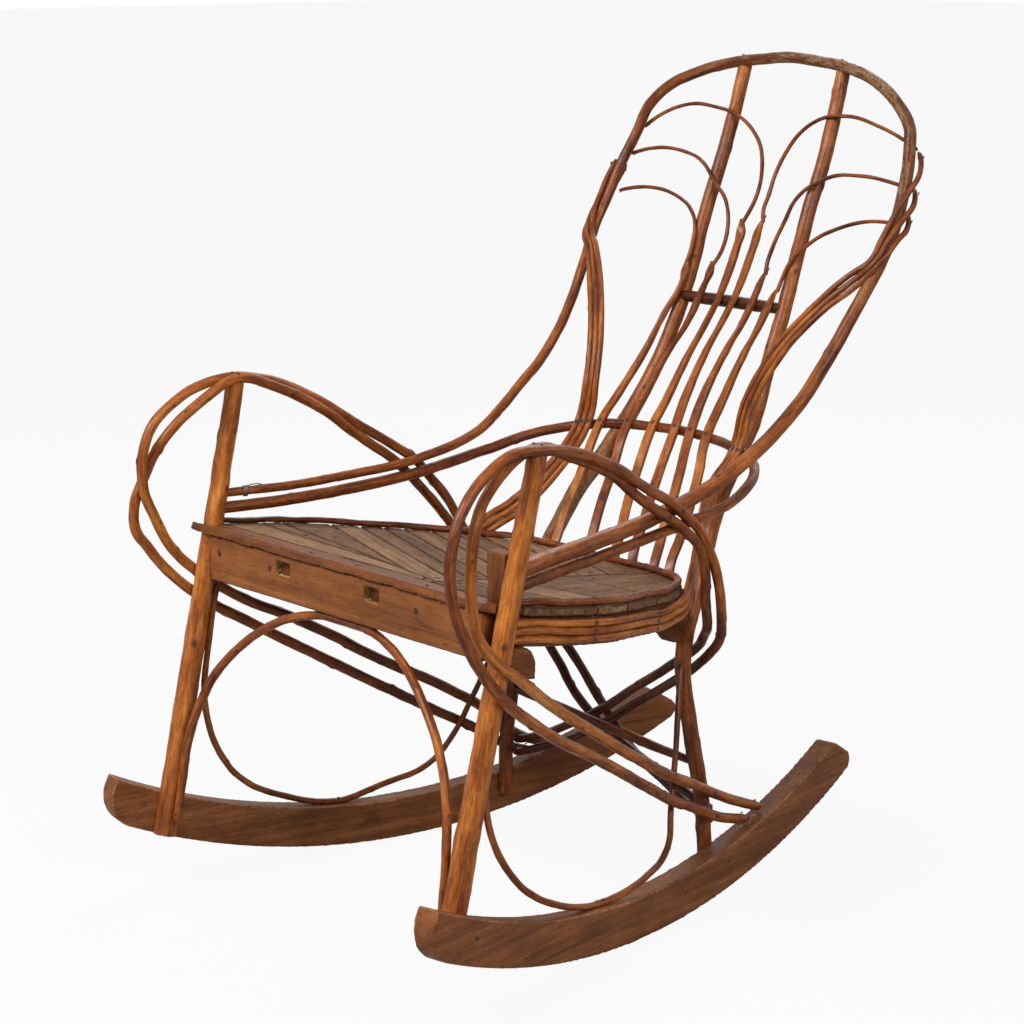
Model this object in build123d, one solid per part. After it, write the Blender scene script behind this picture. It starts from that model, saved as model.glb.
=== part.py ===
from build123d import *
import os
from math import asin, cos, degrees, hypot, radians, sin, sqrt, tan

# Bentwood rocking chair of peeled hickory sticks, oak rockers and a split-board seat.
# Millimetres. +X is the sitter's left, +Y runs to the back, +Z is up.
# The origin is on the floor, midway between the rockers, at the rockers' lowest point.

# ---------------------------------------------------------------- overall sizes
post_spread = 560.0          # between the two front posts, centre to centre at the seat
back_top = 1031.0            # floor to the centreline of the bow's crown

# ---------------------------------------------------------------- rockers
rocker_radius = 1000.0       # of the running edge
rocker_depth = 54.0          # from running edge to top edge
rocker_thickness = 30.0
rocker_front = 441.0         # reach ahead of the lowest point
rocker_rear = 457.0          # reach of the running edge behind it
rocker_rear_top = 402.0      # reach of the top edge, where the slanting end begins
rocker_toe_in = 10.0         # degrees each board turns toward the middle at the rear
rocker_low_y = 0.0           # where the running edge touches the floor
rocker_nose_radius = 42.0    # rounded upper front corner
rocker_tail_radii = (6.0, 15.0)       # rounded rear corners, the upper and the lower one
rocker_gap_at_low = 478.0    # between the boards' mid planes at the lowest point

# ---------------------------------------------------------------- sticks
post_foot_diameter = 28.0
post_top_diameter = 23.0
upright_diameter = 20.0
bow_butt_diameter = 20.0     # the bow's thick end, at the right post
bow_crown_diameter = 16.0
bow_tip_diameter = 11.0      # its thin end, at the left post
lower_bow_diameter = 13.0
arm_diameter, arm_gap = 13.0, 0.2
crossbar_diameter = 15.0
brace_diameter = 8.0         # the U-shaped side braces
arch_diameter = 11.0
stretcher_diameter = 13.0
rim_diameter, rim_clearance = 9.0, 0.05
strand_diameter = 8.6
strand_pitch = 8.9           # between the three strands of a bundle
withe_diameter = 5.0
slat_width = 11.0
slat_thickness = 6.5

crossbar_z, crossbar_forward = 715.0, 3.0
stretcher_z = (192.0, 168.0) # at the left leg and at the right one

lap = 1.2                    # depth to which one stick is flattened where it crosses another
tenon = 9.0                  # depth of a stick's end in its socket
tenon_diameter = 9.0         # of the crossbar's and the stretcher's shaved ends

# ---------------------------------------------------------------- front posts
post_foot = (-358.0, 70.0)   # y and z of the foot's end
post_head_y = -227.0         # of the top
post_head_z = {-1: 639.0, 1: 630.0}   # the left post stands a little taller
post_splay = 5.0             # how much wider the tops stand than the seat's spread
post_foot_lap = 5.0          # depth of the flat that beds on the rocker

# ---------------------------------------------------------------- seat
seat_top_at_centre = 422.0   # height of the boards' upper face at y = 0
seat_fall = 0.15             # fall toward the back, per unit of length
board_thickness = 11.0
board_gap = 1.6
strip_front, strip_rear = -288.0, -253.0
rail_front, rail_thickness, rail_bottom = -285.0, 19.0, 395.0
rail_end_gap = 13.0          # from the rail's end to the post's face, filled by the cleat
cleat_width, cleat_depth, cleat_rise = 26.0, 20.0, 58.0
cleat_wrap = 8.0             # from the post's axis to the cleat's coped end
ledger_depth, ledger_height = 18.0, 24.0
batten_width, batten_depth = 52.0, 16.0
side_rail_thickness, side_rail_depth = 12.0, 36.0
rail_clearance = 0.6         # between a side rail and the bands nailed to it
mortise_width, mortise_height = 26.0, 18.0
mortise_places = (-114.0, 58.0)
mortise_rise = 40.0          # of a mortise's middle above the rail's bottom edge
rail_nail_rise = 37.0
slab_reach, slab_height = 900.0, 400.0   # the block of air over the seat that cuts pieces off
saw_height = 470.0           # to which pieces under the seat are drawn before they are cut off
rear_rail_front, rear_rail_thickness = 128.0, 20.0
rear_rail_drop, rear_rail_end_drop = 50.0, 78.0
bracket_thickness, bracket_reach, bracket_height = 16.0, 42.0, 38.0
bracket_height_on_post = 392.0
bracket_slope = 6.0          # rise of its lower edge toward the post
bracket_round = 0.6          # of its height, the radius of its rounded corner
bracket_aside = 4.0          # from the post's axis to the bracket's mid plane
band_pitch = 9.4             # height between the three side bands
band_drop = 19.0             # from the boards' upper face to the upper band's centre
band_inset = 2.0             # of the bands' centres from the boards' edge
rim_inset = 6.0              # of the rim rod's centre from the boards' edge
fit_gap = 0.5                # between a board's notch and the post in it

# ---------------------------------------------------------------- nails
shank_diameter = 2.4
head_diameter, head_thickness, head_sink = 4.8, 1.2, 0.45
rocker_nail_length = 52.0
post_nail_z, leg_nail_z = 100.0, 48.0
nail_bite = 9.0              # how far a nail reaches into the second piece
withe_nail_from_end = 7.0
rear_rail_nail_z = 368.0
BAND_NAILS = (5, 7)
STRIP_NAILS = (-190.0, -70.0, 20.0, 150.0)
tie_diameter = 1.6           # wire tie at the left end of the bow
tie_turns, tie_from_post = 3, 34.0

RIGHT, LEFT = 1, -1
SIDES = ((LEFT, "left"), (RIGHT, "right"))

# The waypoints below are written for this spread and height; at() moves them to the chosen ones.
drawn_spread, drawn_back_top = 560.0, 1031.0
drawn_bow_height = 560.0     # above this the back stretches, up to drawn_shoulder_height
drawn_shoulder_height = 960.0
side_zone = 225.0            # outside this the sides keep their shape and move bodily


def clamp(value, low, high):
    return max(low, min(high, value))


def at(x, y, z):
    """A waypoint moved from the drawn chair to one of the chosen spread and height."""
    widen = (post_spread - drawn_spread) / 2 * clamp(x / side_zone, -1, 1)
    share = (z - drawn_bow_height) / (drawn_shoulder_height - drawn_bow_height)
    return Vector(x + widen, y, z + (back_top - drawn_back_top) * clamp(share, 0, 1))


# ---------------------------------------------------------------- curves

def tangents(points):
    """Directions at the points of a smooth path through them."""
    middle = []
    for before, here, after in zip(points, points[1:], points[2:]):
        first, second = here - before, after - here
        middle.append((first / first.length**2 + second / second.length**2).normalized())
    ends = []
    for chord, next_one in ((points[1] - points[0], middle[0]), (points[-1] - points[-2], middle[-1])):
        chord = chord.normalized()
        ends.append((chord * (2 * chord.dot(next_one)) - next_one).normalized())
    return [ends[0], *middle, ends[1]]


def arc_or_line(start, direction, end):
    straight = (end - start).normalized().cross(direction).length < 1e-5
    return Edge.make_line(start, end) if straight else Edge.make_tangent_arc(start, direction, end)


def smooth(points):
    """A wire of tangent arcs through the points: two arcs from each point to the next."""
    points = [Vector(*p) if isinstance(p, tuple) else p for p in points]
    if len(points) == 2:
        return Wire([Edge.make_line(*points)])
    directions = tangents(points)
    edges = []
    for start, end, t0, t1 in zip(points, points[1:], directions, directions[1:]):
        across, both = end - start, t0 + t1
        turn = 2 * (1 - t0.dot(t1))
        if turn < 1e-7:
            reach = across.length / 2
        else:
            b = across.dot(both)
            reach = (sqrt(b * b + turn * across.dot(across)) - b) / turn
        knee_a, knee_b = start + t0 * reach, end - t1 * reach
        middle = (knee_a + knee_b) * 0.5
        edges.append(arc_or_line(start, t0, middle))
        edges.append(arc_or_line(middle, (knee_b - knee_a).normalized(), end))
    return Wire(edges)


def stick(path, diameter):
    """A round stick of one girth along a smooth path."""
    return sweep(Plane(origin=path @ 0, z_dir=path % 0) * Circle(diameter / 2), path=path)


def tapered_stick(path, diameters):
    """A round stick whose girth changes evenly from one diameter to the next."""
    places = [i / (len(diameters) - 1) for i in range(len(diameters))]
    sections = [Plane(origin=path @ t, z_dir=path % t) * Circle(d / 2) for t, d in zip(places, diameters)]
    return sweep(sections=sections, path=path, multisection=True)


def rod(start, end, diameter):
    """A straight round stick."""
    return Solid.make_cylinder(diameter / 2, (end - start).length, Plane(origin=start, z_dir=end - start))


def crossing(points, axis, value):
    """The place on the way through the points where x, y or z first has the value."""
    for a, b in zip(points, points[1:]):
        low, high = getattr(a, axis), getattr(b, axis)
        if low != high and min(low, high) <= value <= max(low, high):
            return a + (b - a) * ((value - low) / (high - low))
    raise ValueError(f"no {axis} = {value}")


def nearest(path, point):
    """The place on a path that is nearest to a point."""
    return path.distance_to_with_closest_points(Vertex(point))[1]


def sided(side, points):
    """Waypoints drawn for the right side, for either side."""
    return [at(side * x, y, z) for x, y, z in points]


# ---------------------------------------------------------------- rockers

def rocker_mid_x(y):
    """Distance from the middle to a rocker's mid plane."""
    half_gap = rocker_gap_at_low / 2 + (post_spread - drawn_spread) / 2
    return half_gap - tan(radians(rocker_toe_in)) * (y - rocker_low_y)


def rocker_inner_x(y):
    return rocker_mid_x(y) - rocker_thickness / 2 / cos(radians(rocker_toe_in))


def rocker_top_z(y):
    """Height of the top edge, at a distance y from the front or back."""
    along = (y - rocker_low_y) / cos(radians(rocker_toe_in))
    return rocker_radius - sqrt((rocker_radius - rocker_depth) ** 2 - along**2)


def rocker(side):
    """A sawn board whose two edges are arcs about one centre, with rounded ends."""
    centre_z = rocker_radius
    inner = rocker_radius - rocker_depth

    def edge_point(radius, angle):
        return (radius * sin(radians(angle)), centre_z - radius * cos(radians(angle)))

    front = -degrees(asin(rocker_front / rocker_radius))
    rear = degrees(asin(rocker_rear / rocker_radius))
    rear_top = degrees(asin(rocker_rear_top / inner))
    with BuildSketch(Plane.XZ) as profile:
        with BuildLine():
            ThreePointArc(*(edge_point(rocker_radius, a) for a in (front, 0, rear)))
            Line(edge_point(rocker_radius, rear), edge_point(inner, rear_top))
            ThreePointArc(*(edge_point(inner, a) for a in (rear_top, 0, front)))
            Line(edge_point(inner, front), edge_point(rocker_radius, front))
        make_face()
        corners = profile.vertices().sort_by(Axis.X)
        fillet(max(corners[:2], key=lambda v: v.Z), rocker_nose_radius)
        fillet(min(corners[:2], key=lambda v: v.Z), rocker_depth - rocker_nose_radius - 2)
        for corner, radius in zip(sorted(corners[-2:], key=lambda v: -v.Z), rocker_tail_radii):
            near = profile.vertices().sort_by_distance(corner.center())[0]
            fillet(near, radius)
    board = extrude(profile.sketch, rocker_thickness / 2, both=True)
    turned = Rot(Z=90 + side * rocker_toe_in) * board
    return Pos(side * rocker_mid_x(rocker_low_y), rocker_low_y, 0) * turned


# ---------------------------------------------------------------- posts and back legs

def post_ends(side):
    foot_x = rocker_inner_x(post_foot[0]) - post_foot_diameter / 2 + post_foot_lap
    head_x = post_spread / 2 + post_splay
    return Vector(side * foot_x, *post_foot), Vector(side * head_x, post_head_y, post_head_z[side])


def front_post(side, allowance=0):
    """A tapered stick; the allowance widens it to make the notches it stands in."""
    foot, head = post_ends(side)
    wide, narrow = post_foot_diameter / 2 + allowance, post_top_diameter / 2 + allowance
    return Solid.make_cone(wide, narrow, (head - foot).length, Plane(origin=foot, z_dir=head - foot))


def post_axis(side, height):
    foot, head = post_ends(side)
    return foot + (head - foot) * ((height - foot.Z) / (head.Z - foot.Z))


def post_radius(height):
    share = (height - post_foot[1]) / (post_head_z[RIGHT] - post_foot[1])
    return (post_foot_diameter + (post_top_diameter - post_foot_diameter) * share) / 2


UPRIGHT = [(166, 139, 225), (157, 137, 275), (151, 145, 320), (145, 165, 365), (136, 193, 420), (128, 215, 459),
           (115, 258, 512), (106, 311, 580), (97, 345, 640), (92, 381, 719), (91, 421, 830), (90, 458, 921),
           (88, 488, 1018)]
leg_foot_y, leg_foot_z = 146.0, 38.0
leg_foot_lap = 3.0


def upright_points(side):
    """Foot to top of a back leg and upright, which are one bent stick."""
    foot_x = rocker_inner_x(leg_foot_y) - upright_diameter / 2 + leg_foot_lap
    foot = Vector(side * foot_x, leg_foot_y, leg_foot_z)
    above = Vector(side * (foot_x - 3), leg_foot_y - 2, 110)
    return [foot, above, *sided(side, UPRIGHT)]


# ---------------------------------------------------------------- the back's bows

BOW_HALF = [(55, 485, 1027), (110, 480, 1020), (161, 470, 1006), (206, 457, 984), (234, 449, 957),
            (246, 437, 920), (256, 417, 876), (260, 397, 835), (261, 374, 796), (251, 340, 738),
            (241, 290, 665), (238, 250, 622), (236, 211, 592), (231, 174, 567), (225, 136, 545),
            (224, 88, 529), (228, 25, 516), (244, -89, 505), (262, -190, 501)]
LOWER_BOW_HALF = [(52, 281, 552), (104, 272, 549), (159, 251, 542), (206, 204, 529), (226, 150, 514),
                  (232, 78, 502), (234, 20, 495), (247, -91, 486), (266, -200, 482)]
bow_crown = (0, 486, 1031)
lower_bow_back = (0, 284, 553)
BOW_SOCKET_Z, LOWER_SOCKET_Z = 500.0, 481.0


def bow_points(half, middle, socket_z):
    """Left post to right post round the back; the ends run into the posts."""
    ends = [post_axis(side, socket_z) for side, _ in SIDES]
    left = [at(-x, y, z) for x, y, z in reversed(half)]
    return [ends[0], *left, at(*middle), *sided(RIGHT, half), ends[1]]


# ---------------------------------------------------------------- arms
# Each arm is two sticks that lie side by side. A stick starts on the rocker behind the leg, climbs
# past the outside of leg and post, loops forward and over the post's top, falls back past the bows,
# curls in behind the leg under the seat and ends low on the opposite leg.

ARM_RISE = {
    ("left", "outer"): [(-204, 130, 150), (-221, 54, 202), (-240, -27, 246), (-265, -134, 311), (-290, -239, 367),
                        (-300, -281, 398), (-306, -316, 434), (-306, -341, 478), (-299, -361, 522),
                        (-300, -359, 563), (-300, -342, 597), (-298, -315, 620), (-295, -276, 638)],
    ("left", "inner"): [(-206, 121, 124), (-225, 38, 172), (-255, -90, 248), (-281, -202, 316), (-298, -276, 364),
                        (-305, -307, 390), (-312, -343, 432), (-315, -364, 466), (-314, -364, 497),
                        (-313, -350, 529), (-298, -336, 568), (-291, -316, 594), (-285, -282, 619)],
    ("right", "outer"): [(207, 121, 118), (223, 49, 152), (238, -18, 192), (255, -89, 234), (286, -225, 313),
                         (302, -292, 362), (310, -326, 396), (311, -352, 436), (311, -371, 480), (309, -376, 520),
                         (305, -359, 577), (300, -316, 620), (296, -277, 636)],
    ("right", "inner"): [(206, 121, 147), (225, 37, 189), (242, -36, 231), (255, -90, 264), (284, -217, 345),
                         (299, -275, 388), (304, -310, 413), (303, -333, 445), (306, -343, 482), (308, -344, 530),
                         (299, -322, 586), (291, -299, 604), (285, -268, 624)],
}
ARM_FALL = {
    ("left", "outer"): [(-286, -176, 636), (-275, -119, 611), (-259, -59, 571), (-247, 0, 533), (-242, 32, 511),
                        (-248, 60, 485), (-245, 90, 448), (-240, 114, 406), (-231, 133, 368), (-208, 149, 334),
                        (-172, 163, 298), (-145, 177, 258), (-70, 178, 184), (0, 176, 152), (80, 172, 128),
                        (140, 165, 114)],
    ("left", "inner"): [(-271, -170, 627), (-259, -112, 595), (-250, -55, 552), (-243, 0, 512), (-249, 34, 483),
                        (-242, 72, 440), (-231, 98, 400), (-216, 120, 364), (-190, 143, 342), (-153, 166, 308),
                        (-112, 182, 261), (-40, 189, 184), (12, 190, 138), (79, 184, 110), (140, 169, 97)],
    ("right", "outer"): [(278, -155, 620), (268, -90, 594), (256, -36, 564), (243, 37, 523), (246, 73, 490),
                         (246, 95, 452), (241, 114, 406), (230, 129, 366), (208, 149, 334), (168, 162, 298),
                         (103, 166, 251), (46, 164, 214), (-10, 162, 176), (-70, 161, 140), (-130, 161, 114)],
    ("right", "inner"): [(266, -155, 614), (257, -90, 586), (250, -32, 546), (244, 19, 515), (246, 43, 498),
                         (246, 72, 471),
                         (238, 91, 436), (228, 102, 396), (216, 118, 362), (190, 142, 341), (158, 163, 314),
                         (103, 167, 275), (46, 165, 236), (-10, 162, 197), (-70, 161, 162), (-130, 161, 132)],
}
arm_end_y = {("left", "outer"): 236.0, ("left", "inner"): 206.0,
             ("right", "outer"): 214.0, ("right", "inner"): 243.0}
arm_tail_z = {("left", "outer"): 106.0, ("left", "inner"): 90.0,
              ("right", "outer"): 92.0, ("right", "inner"): 111.0}
leg_pass_y = 146.0           # where the arms pass the outside of the legs
arm_pass_z = {("left", "outer"): 134.0, ("left", "inner"): 107.0,
              ("right", "outer"): 105.0, ("right", "inner"): 134.0}


def arm_points(side, name, place):
    """One arm stick from the rocker's top edge to its nailed end on the opposite leg."""
    key = (name, place)
    radius = arm_diameter / 2
    leg, far_leg = upright_points(side), upright_points(-side)
    end_y = arm_end_y[key]
    start = Vector(side * rocker_mid_x(end_y), end_y, rocker_top_z(end_y) + radius - lap)
    beside = crossing(leg, "Z", arm_pass_z[key])
    reach = upright_diameter / 2 + radius - lap
    passing = Vector(beside.X + side * (reach + 1.5), leg_pass_y, beside.Z)
    offset = (radius + arm_gap / 2) * (1 if place == "outer" else -1)
    head = post_ends(side)[1]
    over = Vector(head.X + side * offset, head.Y, head.Z + radius - lap)
    tail = crossing(far_leg, "Z", arm_tail_z[key])
    tail_end = Vector(tail.X, tail.Y + reach, tail.Z)
    rise = [at(*p) for p in ARM_RISE[key]]
    fall = [at(*p) for p in ARM_FALL[key]]
    return [start, passing, *rise, over, *fall, tail_end]


# ---------------------------------------------------------------- braces under the seat

brace_post_heights = (388.0, 310.0)   # where a brace lies against the front post
brace_leg_height = 300.0     # where it ends on the back leg
brace_low_y = -95.0          # where it rests on the rocker
brace_aside, brace_leg_aside = 9.0, 6.0   # of its centre from the post's and the leg's
brace_bed = 2.4              # of its centre outside the post's face, and of its face inside the leg

def brace_points(side):
    """The thin U from the front post, down to the rocker's top edge and up to the back leg."""
    radius = brace_diameter / 2
    starts = []
    for height in brace_post_heights:
        post = post_axis(side, height)
        starts.append(Vector(post.X - side * brace_aside, post.Y + post_radius(height) + brace_bed, height))
    leg = crossing(upright_points(side), "Z", brace_leg_height)
    low = Vector(side * rocker_mid_x(brace_low_y), brace_low_y, rocker_top_z(brace_low_y) + radius - lap / 2)
    end_y = leg.Y - upright_diameter / 2 - radius + brace_bed
    end = Vector(leg.X + side * brace_leg_aside, end_y, brace_leg_height)
    front = sided(side, [(273, -294, 232), (275, -275, 168), (277, -236, 118), (271, -175, 83)])
    rear = sided(side, [(250, -25, 71), (229, 40, 92), (206, 70, 140), (193, 88, 185), (178, 107, 240)])
    return [*starts, *front, low, *rear, end]


ARCH_HALF = [(58, -280, 388), (112, -288, 372), (165, -300, 340), (214, -314, 292), (240, -325, 244),
             (253, -335, 195), (258, -344, 135), (259, -352, 88)]


def arch_points():
    crown = at(0, -277, rail_bottom - arch_diameter / 2 + lap / 3)
    return [*reversed(sided(LEFT, ARCH_HALF)), crown, *sided(RIGHT, ARCH_HALF)]


def rung(left_axis, right_axis, diameter):
    """A straight stick between two uprights, with a shaved round tenon at each end."""
    direction = (right_axis - left_axis).normalized()
    shoulder = upright_diameter / 2 - 0.4
    a, b = left_axis + direction * shoulder, right_axis - direction * shoulder
    tip_a, tip_b = a - direction * tenon, b + direction * tenon
    return rod(a, b, diameter) + rod(tip_a, tip_b, tenon_diameter)


# ---------------------------------------------------------------- back slats
# A slat is a split stick. Above its shoulder most of its width is cut away, and what is left, a thin
# withe, arcs outward in front of the upright and passes behind the bow.

SLATS = {
    1: [(-100, 151, 352), (-104, 152.5, 384), (-111, 172, 421), (-120, 217, 486), (-125, 254, 546), (-121, 300, 600),
        (-113, 331, 645), (-99, 357, 700), (-92, 369, 722), (-85, 382, 762)],
    2: [(-30, 151, 352), (-38, 152.5, 384), (-51, 178, 430), (-72, 229, 495), (-83, 265, 549), (-87, 303, 591),
        (-78, 327, 631), (-57, 352, 684), (-49, 371, 726), (-41, 386, 764)],
    3: [(22, 151, 352), (14, 152.5, 384), (-8, 190, 447), (-29, 233, 500), (-40, 270, 551), (-42, 300, 588),
        (-36, 327, 636), (-23, 352, 686), (-12, 371, 730), (-8, 391, 780), (-7, 405, 822)],
    4: [(52, 151, 352), (46, 152.5, 384), (22, 203, 463), (8, 239, 507), (0, 271.5, 552), (-11, 305, 595),
        (-6, 334, 650), (8, 358, 700), (16, 372, 733), (22, 392, 785), (27, 407, 830)],
    5: [(88, 151, 352), (84, 152.5, 384), (66, 190, 445), (52, 224, 489), (30, 270, 551), (20, 306, 599),
        (30, 339, 660), (43, 359, 701), (49, 372, 732), (56, 384, 765)],
    6: [(118, 151, 352), (112, 152.5, 384), (94, 200, 456), (76, 241, 508), (62, 267, 549), (54, 309, 601),
        (60, 336, 652), (71, 356, 694), (76, 369, 722), (83, 378, 745)],
}
WITHES = {
    1: [(-88, 388, 776), (-95, 402, 812), (-114, 411, 829), (-140, 419, 839), (-180, 422, 848),
        (-222, 420, 848), (-256, 415, 841)],
    2: [(-38, 388, 768), (-35, 404, 812), (-48, 413, 842), (-78, 421, 866), (-111, 432, 889),
        (-161, 441, 901), (-205, 442, 902), (-255, 436, 891)],
    3: [(-4, 407, 826), (3, 417, 850), (-5, 436, 888), (-17, 445, 915), (-44, 452, 940),
        (-80, 457, 956), (-118, 461, 962), (-155, 463, 964), (-203, 460, 953), (-248, 454, 927)],
    4: [(24, 409, 834), (22, 421, 855), (22, 431, 878), (29, 443, 907), (47, 451, 935),
        (80, 456, 956), (124, 462, 961), (176, 461, 951), (246, 453, 926)],
    5: [(54, 386, 769), (56, 396, 794), (63, 406, 821), (78, 415, 856), (119, 430, 884),
        (174, 436, 889), (222, 436, 884), (241, 434, 881)],
    6: [(84, 380, 748), (91, 388, 772), (119, 400, 803), (160, 408, 824), (210, 414, 836), (252, 411, 835)],
}


withe_root = 8.0             # how far down the flat a withe starts


def withe_points(number, flat):
    """A withe's path, which starts inside the flat's top corner on the side it leaves to."""
    points = [at(*p) for p in WITHES[number]]
    aside = LEFT if points[-1].X < 0 else RIGHT
    root = flat @ (1 - withe_root / flat.length) + Vector(aside * (slat_width - withe_diameter) / 2, 0, 0)
    return [root, *points]


def slat(flat, withe):
    """The flat of a slat with its withe in one piece."""
    section = Plane(origin=flat @ 0, x_dir=(1, 0, 0), z_dir=flat % 0) * Rectangle(slat_width, slat_thickness)
    return sweep(section, path=flat) + stick(withe, withe_diameter)


# ---------------------------------------------------------------- seat

seat_tilt = degrees(asin(seat_fall / sqrt(1 + seat_fall**2)))
seat_plane = Plane(origin=(0, 0, seat_top_at_centre), x_dir=(1, 0, 0), z_dir=(0, seat_fall, 1))
side_rail_inset = band_inset + strand_diameter / 2 + rail_clearance
SIDE_RAIL_FROM = 2           # the side rail starts at this point of the seat's edge, from the back
OUTLINE_HALF = [(288, -250), (295, -172), (289, -112), (261, -30), (231, 42), (187, 103), (150, 133), (110, 146),
                (50, 149)]
outline_back = (0, 149)
APEX = [(128, -262), (95, 165)]
LEFT_JOINTS = [
    [(-320, -189), (20, -221), (50, -228), (127, -246)],
    [(-320, -148), (50, -228)],
    [(-320, -66), (50, -228)],
    [(-320, -22), (124, -217)], [(-320, 15), (122, -186)], [(-320, 46), (119, -153)], [(-320, 88), (115, -110)],
    [(-320, 124), (112, -73)], [(-320, 162), (109, -34)], [(-300, 192), (105, 7)], [(-250, 220), (101, 60)],
]
RIGHT_JOINTS = [[(126, -195), (320, -133)], [(121, -131), (320, -68)], [(112, -13), (320, 2)]]


def seat_top(y):
    return seat_top_at_centre - seat_fall * y


def edge_points(inset):
    """Right half of the seat's edge, back to front, moved toward the middle by the inset."""
    half = [outline_back, *reversed(OUTLINE_HALF)]
    moved = []
    for i, (x, y) in enumerate(half):
        before, after = half[max(i - 1, 0)], half[min(i + 1, len(half) - 1)]
        along_x, along_y = after[0] - before[0], after[1] - before[1]
        length = hypot(along_x, along_y)
        place = at(x, y, 0)
        moved.append((place.X + along_y / length * inset, place.Y - along_x / length * inset))
    return moved


def between(points, i):
    """The middle of the stretch from a point in plan to the next."""
    (x0, y0), (x1, y1) = points[i], points[i + 1]
    return (x0 + x1) / 2, (y0 + y1) / 2


def on_seat(x, y, above):
    """A point over the seat's upper face, given by its place in plan."""
    return Vector(x, y, seat_top(y)) + seat_plane.z_dir * above


def in_plan(points):
    """Places on the seat in the coordinates of its own plane."""
    local = [seat_plane.to_local_coords(on_seat(x, y, 0)) for x, y in points]
    return [(p.X, p.Y, 0) for p in local]


def saw_cut(start, end):
    """A narrow gap between two places, a little longer than the way between them."""
    (x0, y0), (x1, y1) = start, end
    length = hypot(x1 - x0, y1 - y0) + 3 * board_gap
    turn = degrees(asin((y1 - y0) / hypot(x1 - x0, y1 - y0)))
    return Pos((x0 + x1) / 2, (y0 + y1) / 2) * Rot(Z=turn if x1 > x0 else 180 - turn) * Rectangle(length, board_gap)


def seat_boards():
    """Thin boards in a slanted chevron, cut from one outline by the gaps between them."""
    right = in_plan(edge_points(0))
    left = [(-x, y, 0) for x, y, _ in right]
    edge = smooth([*reversed(left), *right[1:]])
    front = Edge.make_line(edge @ 1, edge @ 0)
    sheet = make_face([*edge.edges(), front])
    stretch = post_spread / drawn_spread
    for joint in [APEX, *LEFT_JOINTS, *RIGHT_JOINTS]:
        for (x0, y0), (x1, y1) in zip(joint, joint[1:]):
            sheet -= saw_cut((x0 * stretch, y0), (x1 * stretch, y1))
    boards = [extrude(seat_plane * face, -board_thickness) for face in sheet.faces()]
    return sorted(boards, key=lambda b: (b.center().X > APEX[1][0] * stretch, b.center().Y))


def side_rail(side):
    """The bent rail under the boards' edge that the bands are nailed to."""
    inner_inset = side_rail_inset + side_rail_thickness
    outer = [(side * x, y, z) for x, y, z in in_plan(edge_points(side_rail_inset)[SIDE_RAIL_FROM:])]
    inner = [(side * x, y, z) for x, y, z in in_plan(edge_points(inner_inset)[SIDE_RAIL_FROM:])]
    a, b = smooth(outer), smooth(inner)
    ends = [Edge.make_line(a @ 0, b @ 0), Edge.make_line(a @ 1, b @ 1)]
    face = make_face([*a.edges(), *b.edges(), *ends])
    rail = extrude(seat_plane * face, -board_thickness - side_rail_depth)
    return under_seat(rail)


def under_seat(part, depth=board_thickness):
    """The part, cut off at the height of the boards' underside."""
    slab = Pos(0, 0, slab_height / 2 - depth) * Box(slab_reach, slab_reach, slab_height)
    return part - seat_plane * slab


def front_strip():
    """The worn board along the seat's front, with a thin spur that passes the left post."""
    head = post_axis(RIGHT, seat_top(strip_rear))
    x = head.X
    inner = x - post_radius(seat_top(strip_rear)) + 1
    points = [(-x - 24, strip_front + 3), (-x - 10, strip_front), (inner - 14, strip_front),
              (inner, strip_front + 14),
              (inner, strip_rear), (-inner, strip_rear), (-inner, strip_front + 7), (-x - 10, strip_front + 6)]
    local = [seat_plane.to_local_coords(on_seat(px, py, 0)) for px, py in points]
    face = make_face(Polyline(*[(p.X, p.Y) for p in local], close=True))
    return extrude(seat_plane * face, -board_thickness)


def board(x0, x1, y0, y1, z0, z1):
    """A squared piece between two corners."""
    return Pos((x0 + x1) / 2, (y0 + y1) / 2, (z0 + z1) / 2) * Box(abs(x1 - x0), abs(y1 - y0), abs(z1 - z0))


def rail_half_length():
    return post_axis(RIGHT, rail_bottom).X - post_radius(rail_bottom) - rail_end_gap


def front_rail():
    half = rail_half_length()
    rail = board(-half - rail_end_gap + 2, half, rail_front, rail_front + rail_thickness, rail_bottom, saw_height)
    for place in mortise_places:
        hole_z = rail_bottom + mortise_rise
        rail -= board(place - mortise_width / 2, place + mortise_width / 2, rail_front - 1, rail_front + 30,
                      hole_z - mortise_height / 2, hole_z + mortise_height / 2)
    return under_seat(rail)


def ledger_half_length():
    return post_axis(RIGHT, rail_bottom).X - post_radius(rail_bottom) - cleat_width


def front_ledger():
    """The inner batten behind the front rail that the boards' front ends lie on."""
    rear = rail_front + rail_thickness
    top = seat_top(rear)
    half = ledger_half_length()
    return under_seat(board(-half, half, rear, rear + ledger_depth, top - board_thickness - ledger_height, top + 20))


def cleat(side):
    """The block that ties rail and ledger to a post; the right one stands up above the boards."""
    rear = rail_front + rail_thickness
    top = seat_top(rear) + (cleat_rise if side == RIGHT else 0)
    inner, outer = ledger_half_length(), post_axis(side, seat_top(rear)).X * side - cleat_wrap
    block = board(side * inner, side * outer, rear, rear + cleat_depth, rail_bottom + 2, top)
    return block if side == RIGHT else under_seat(block)


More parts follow.
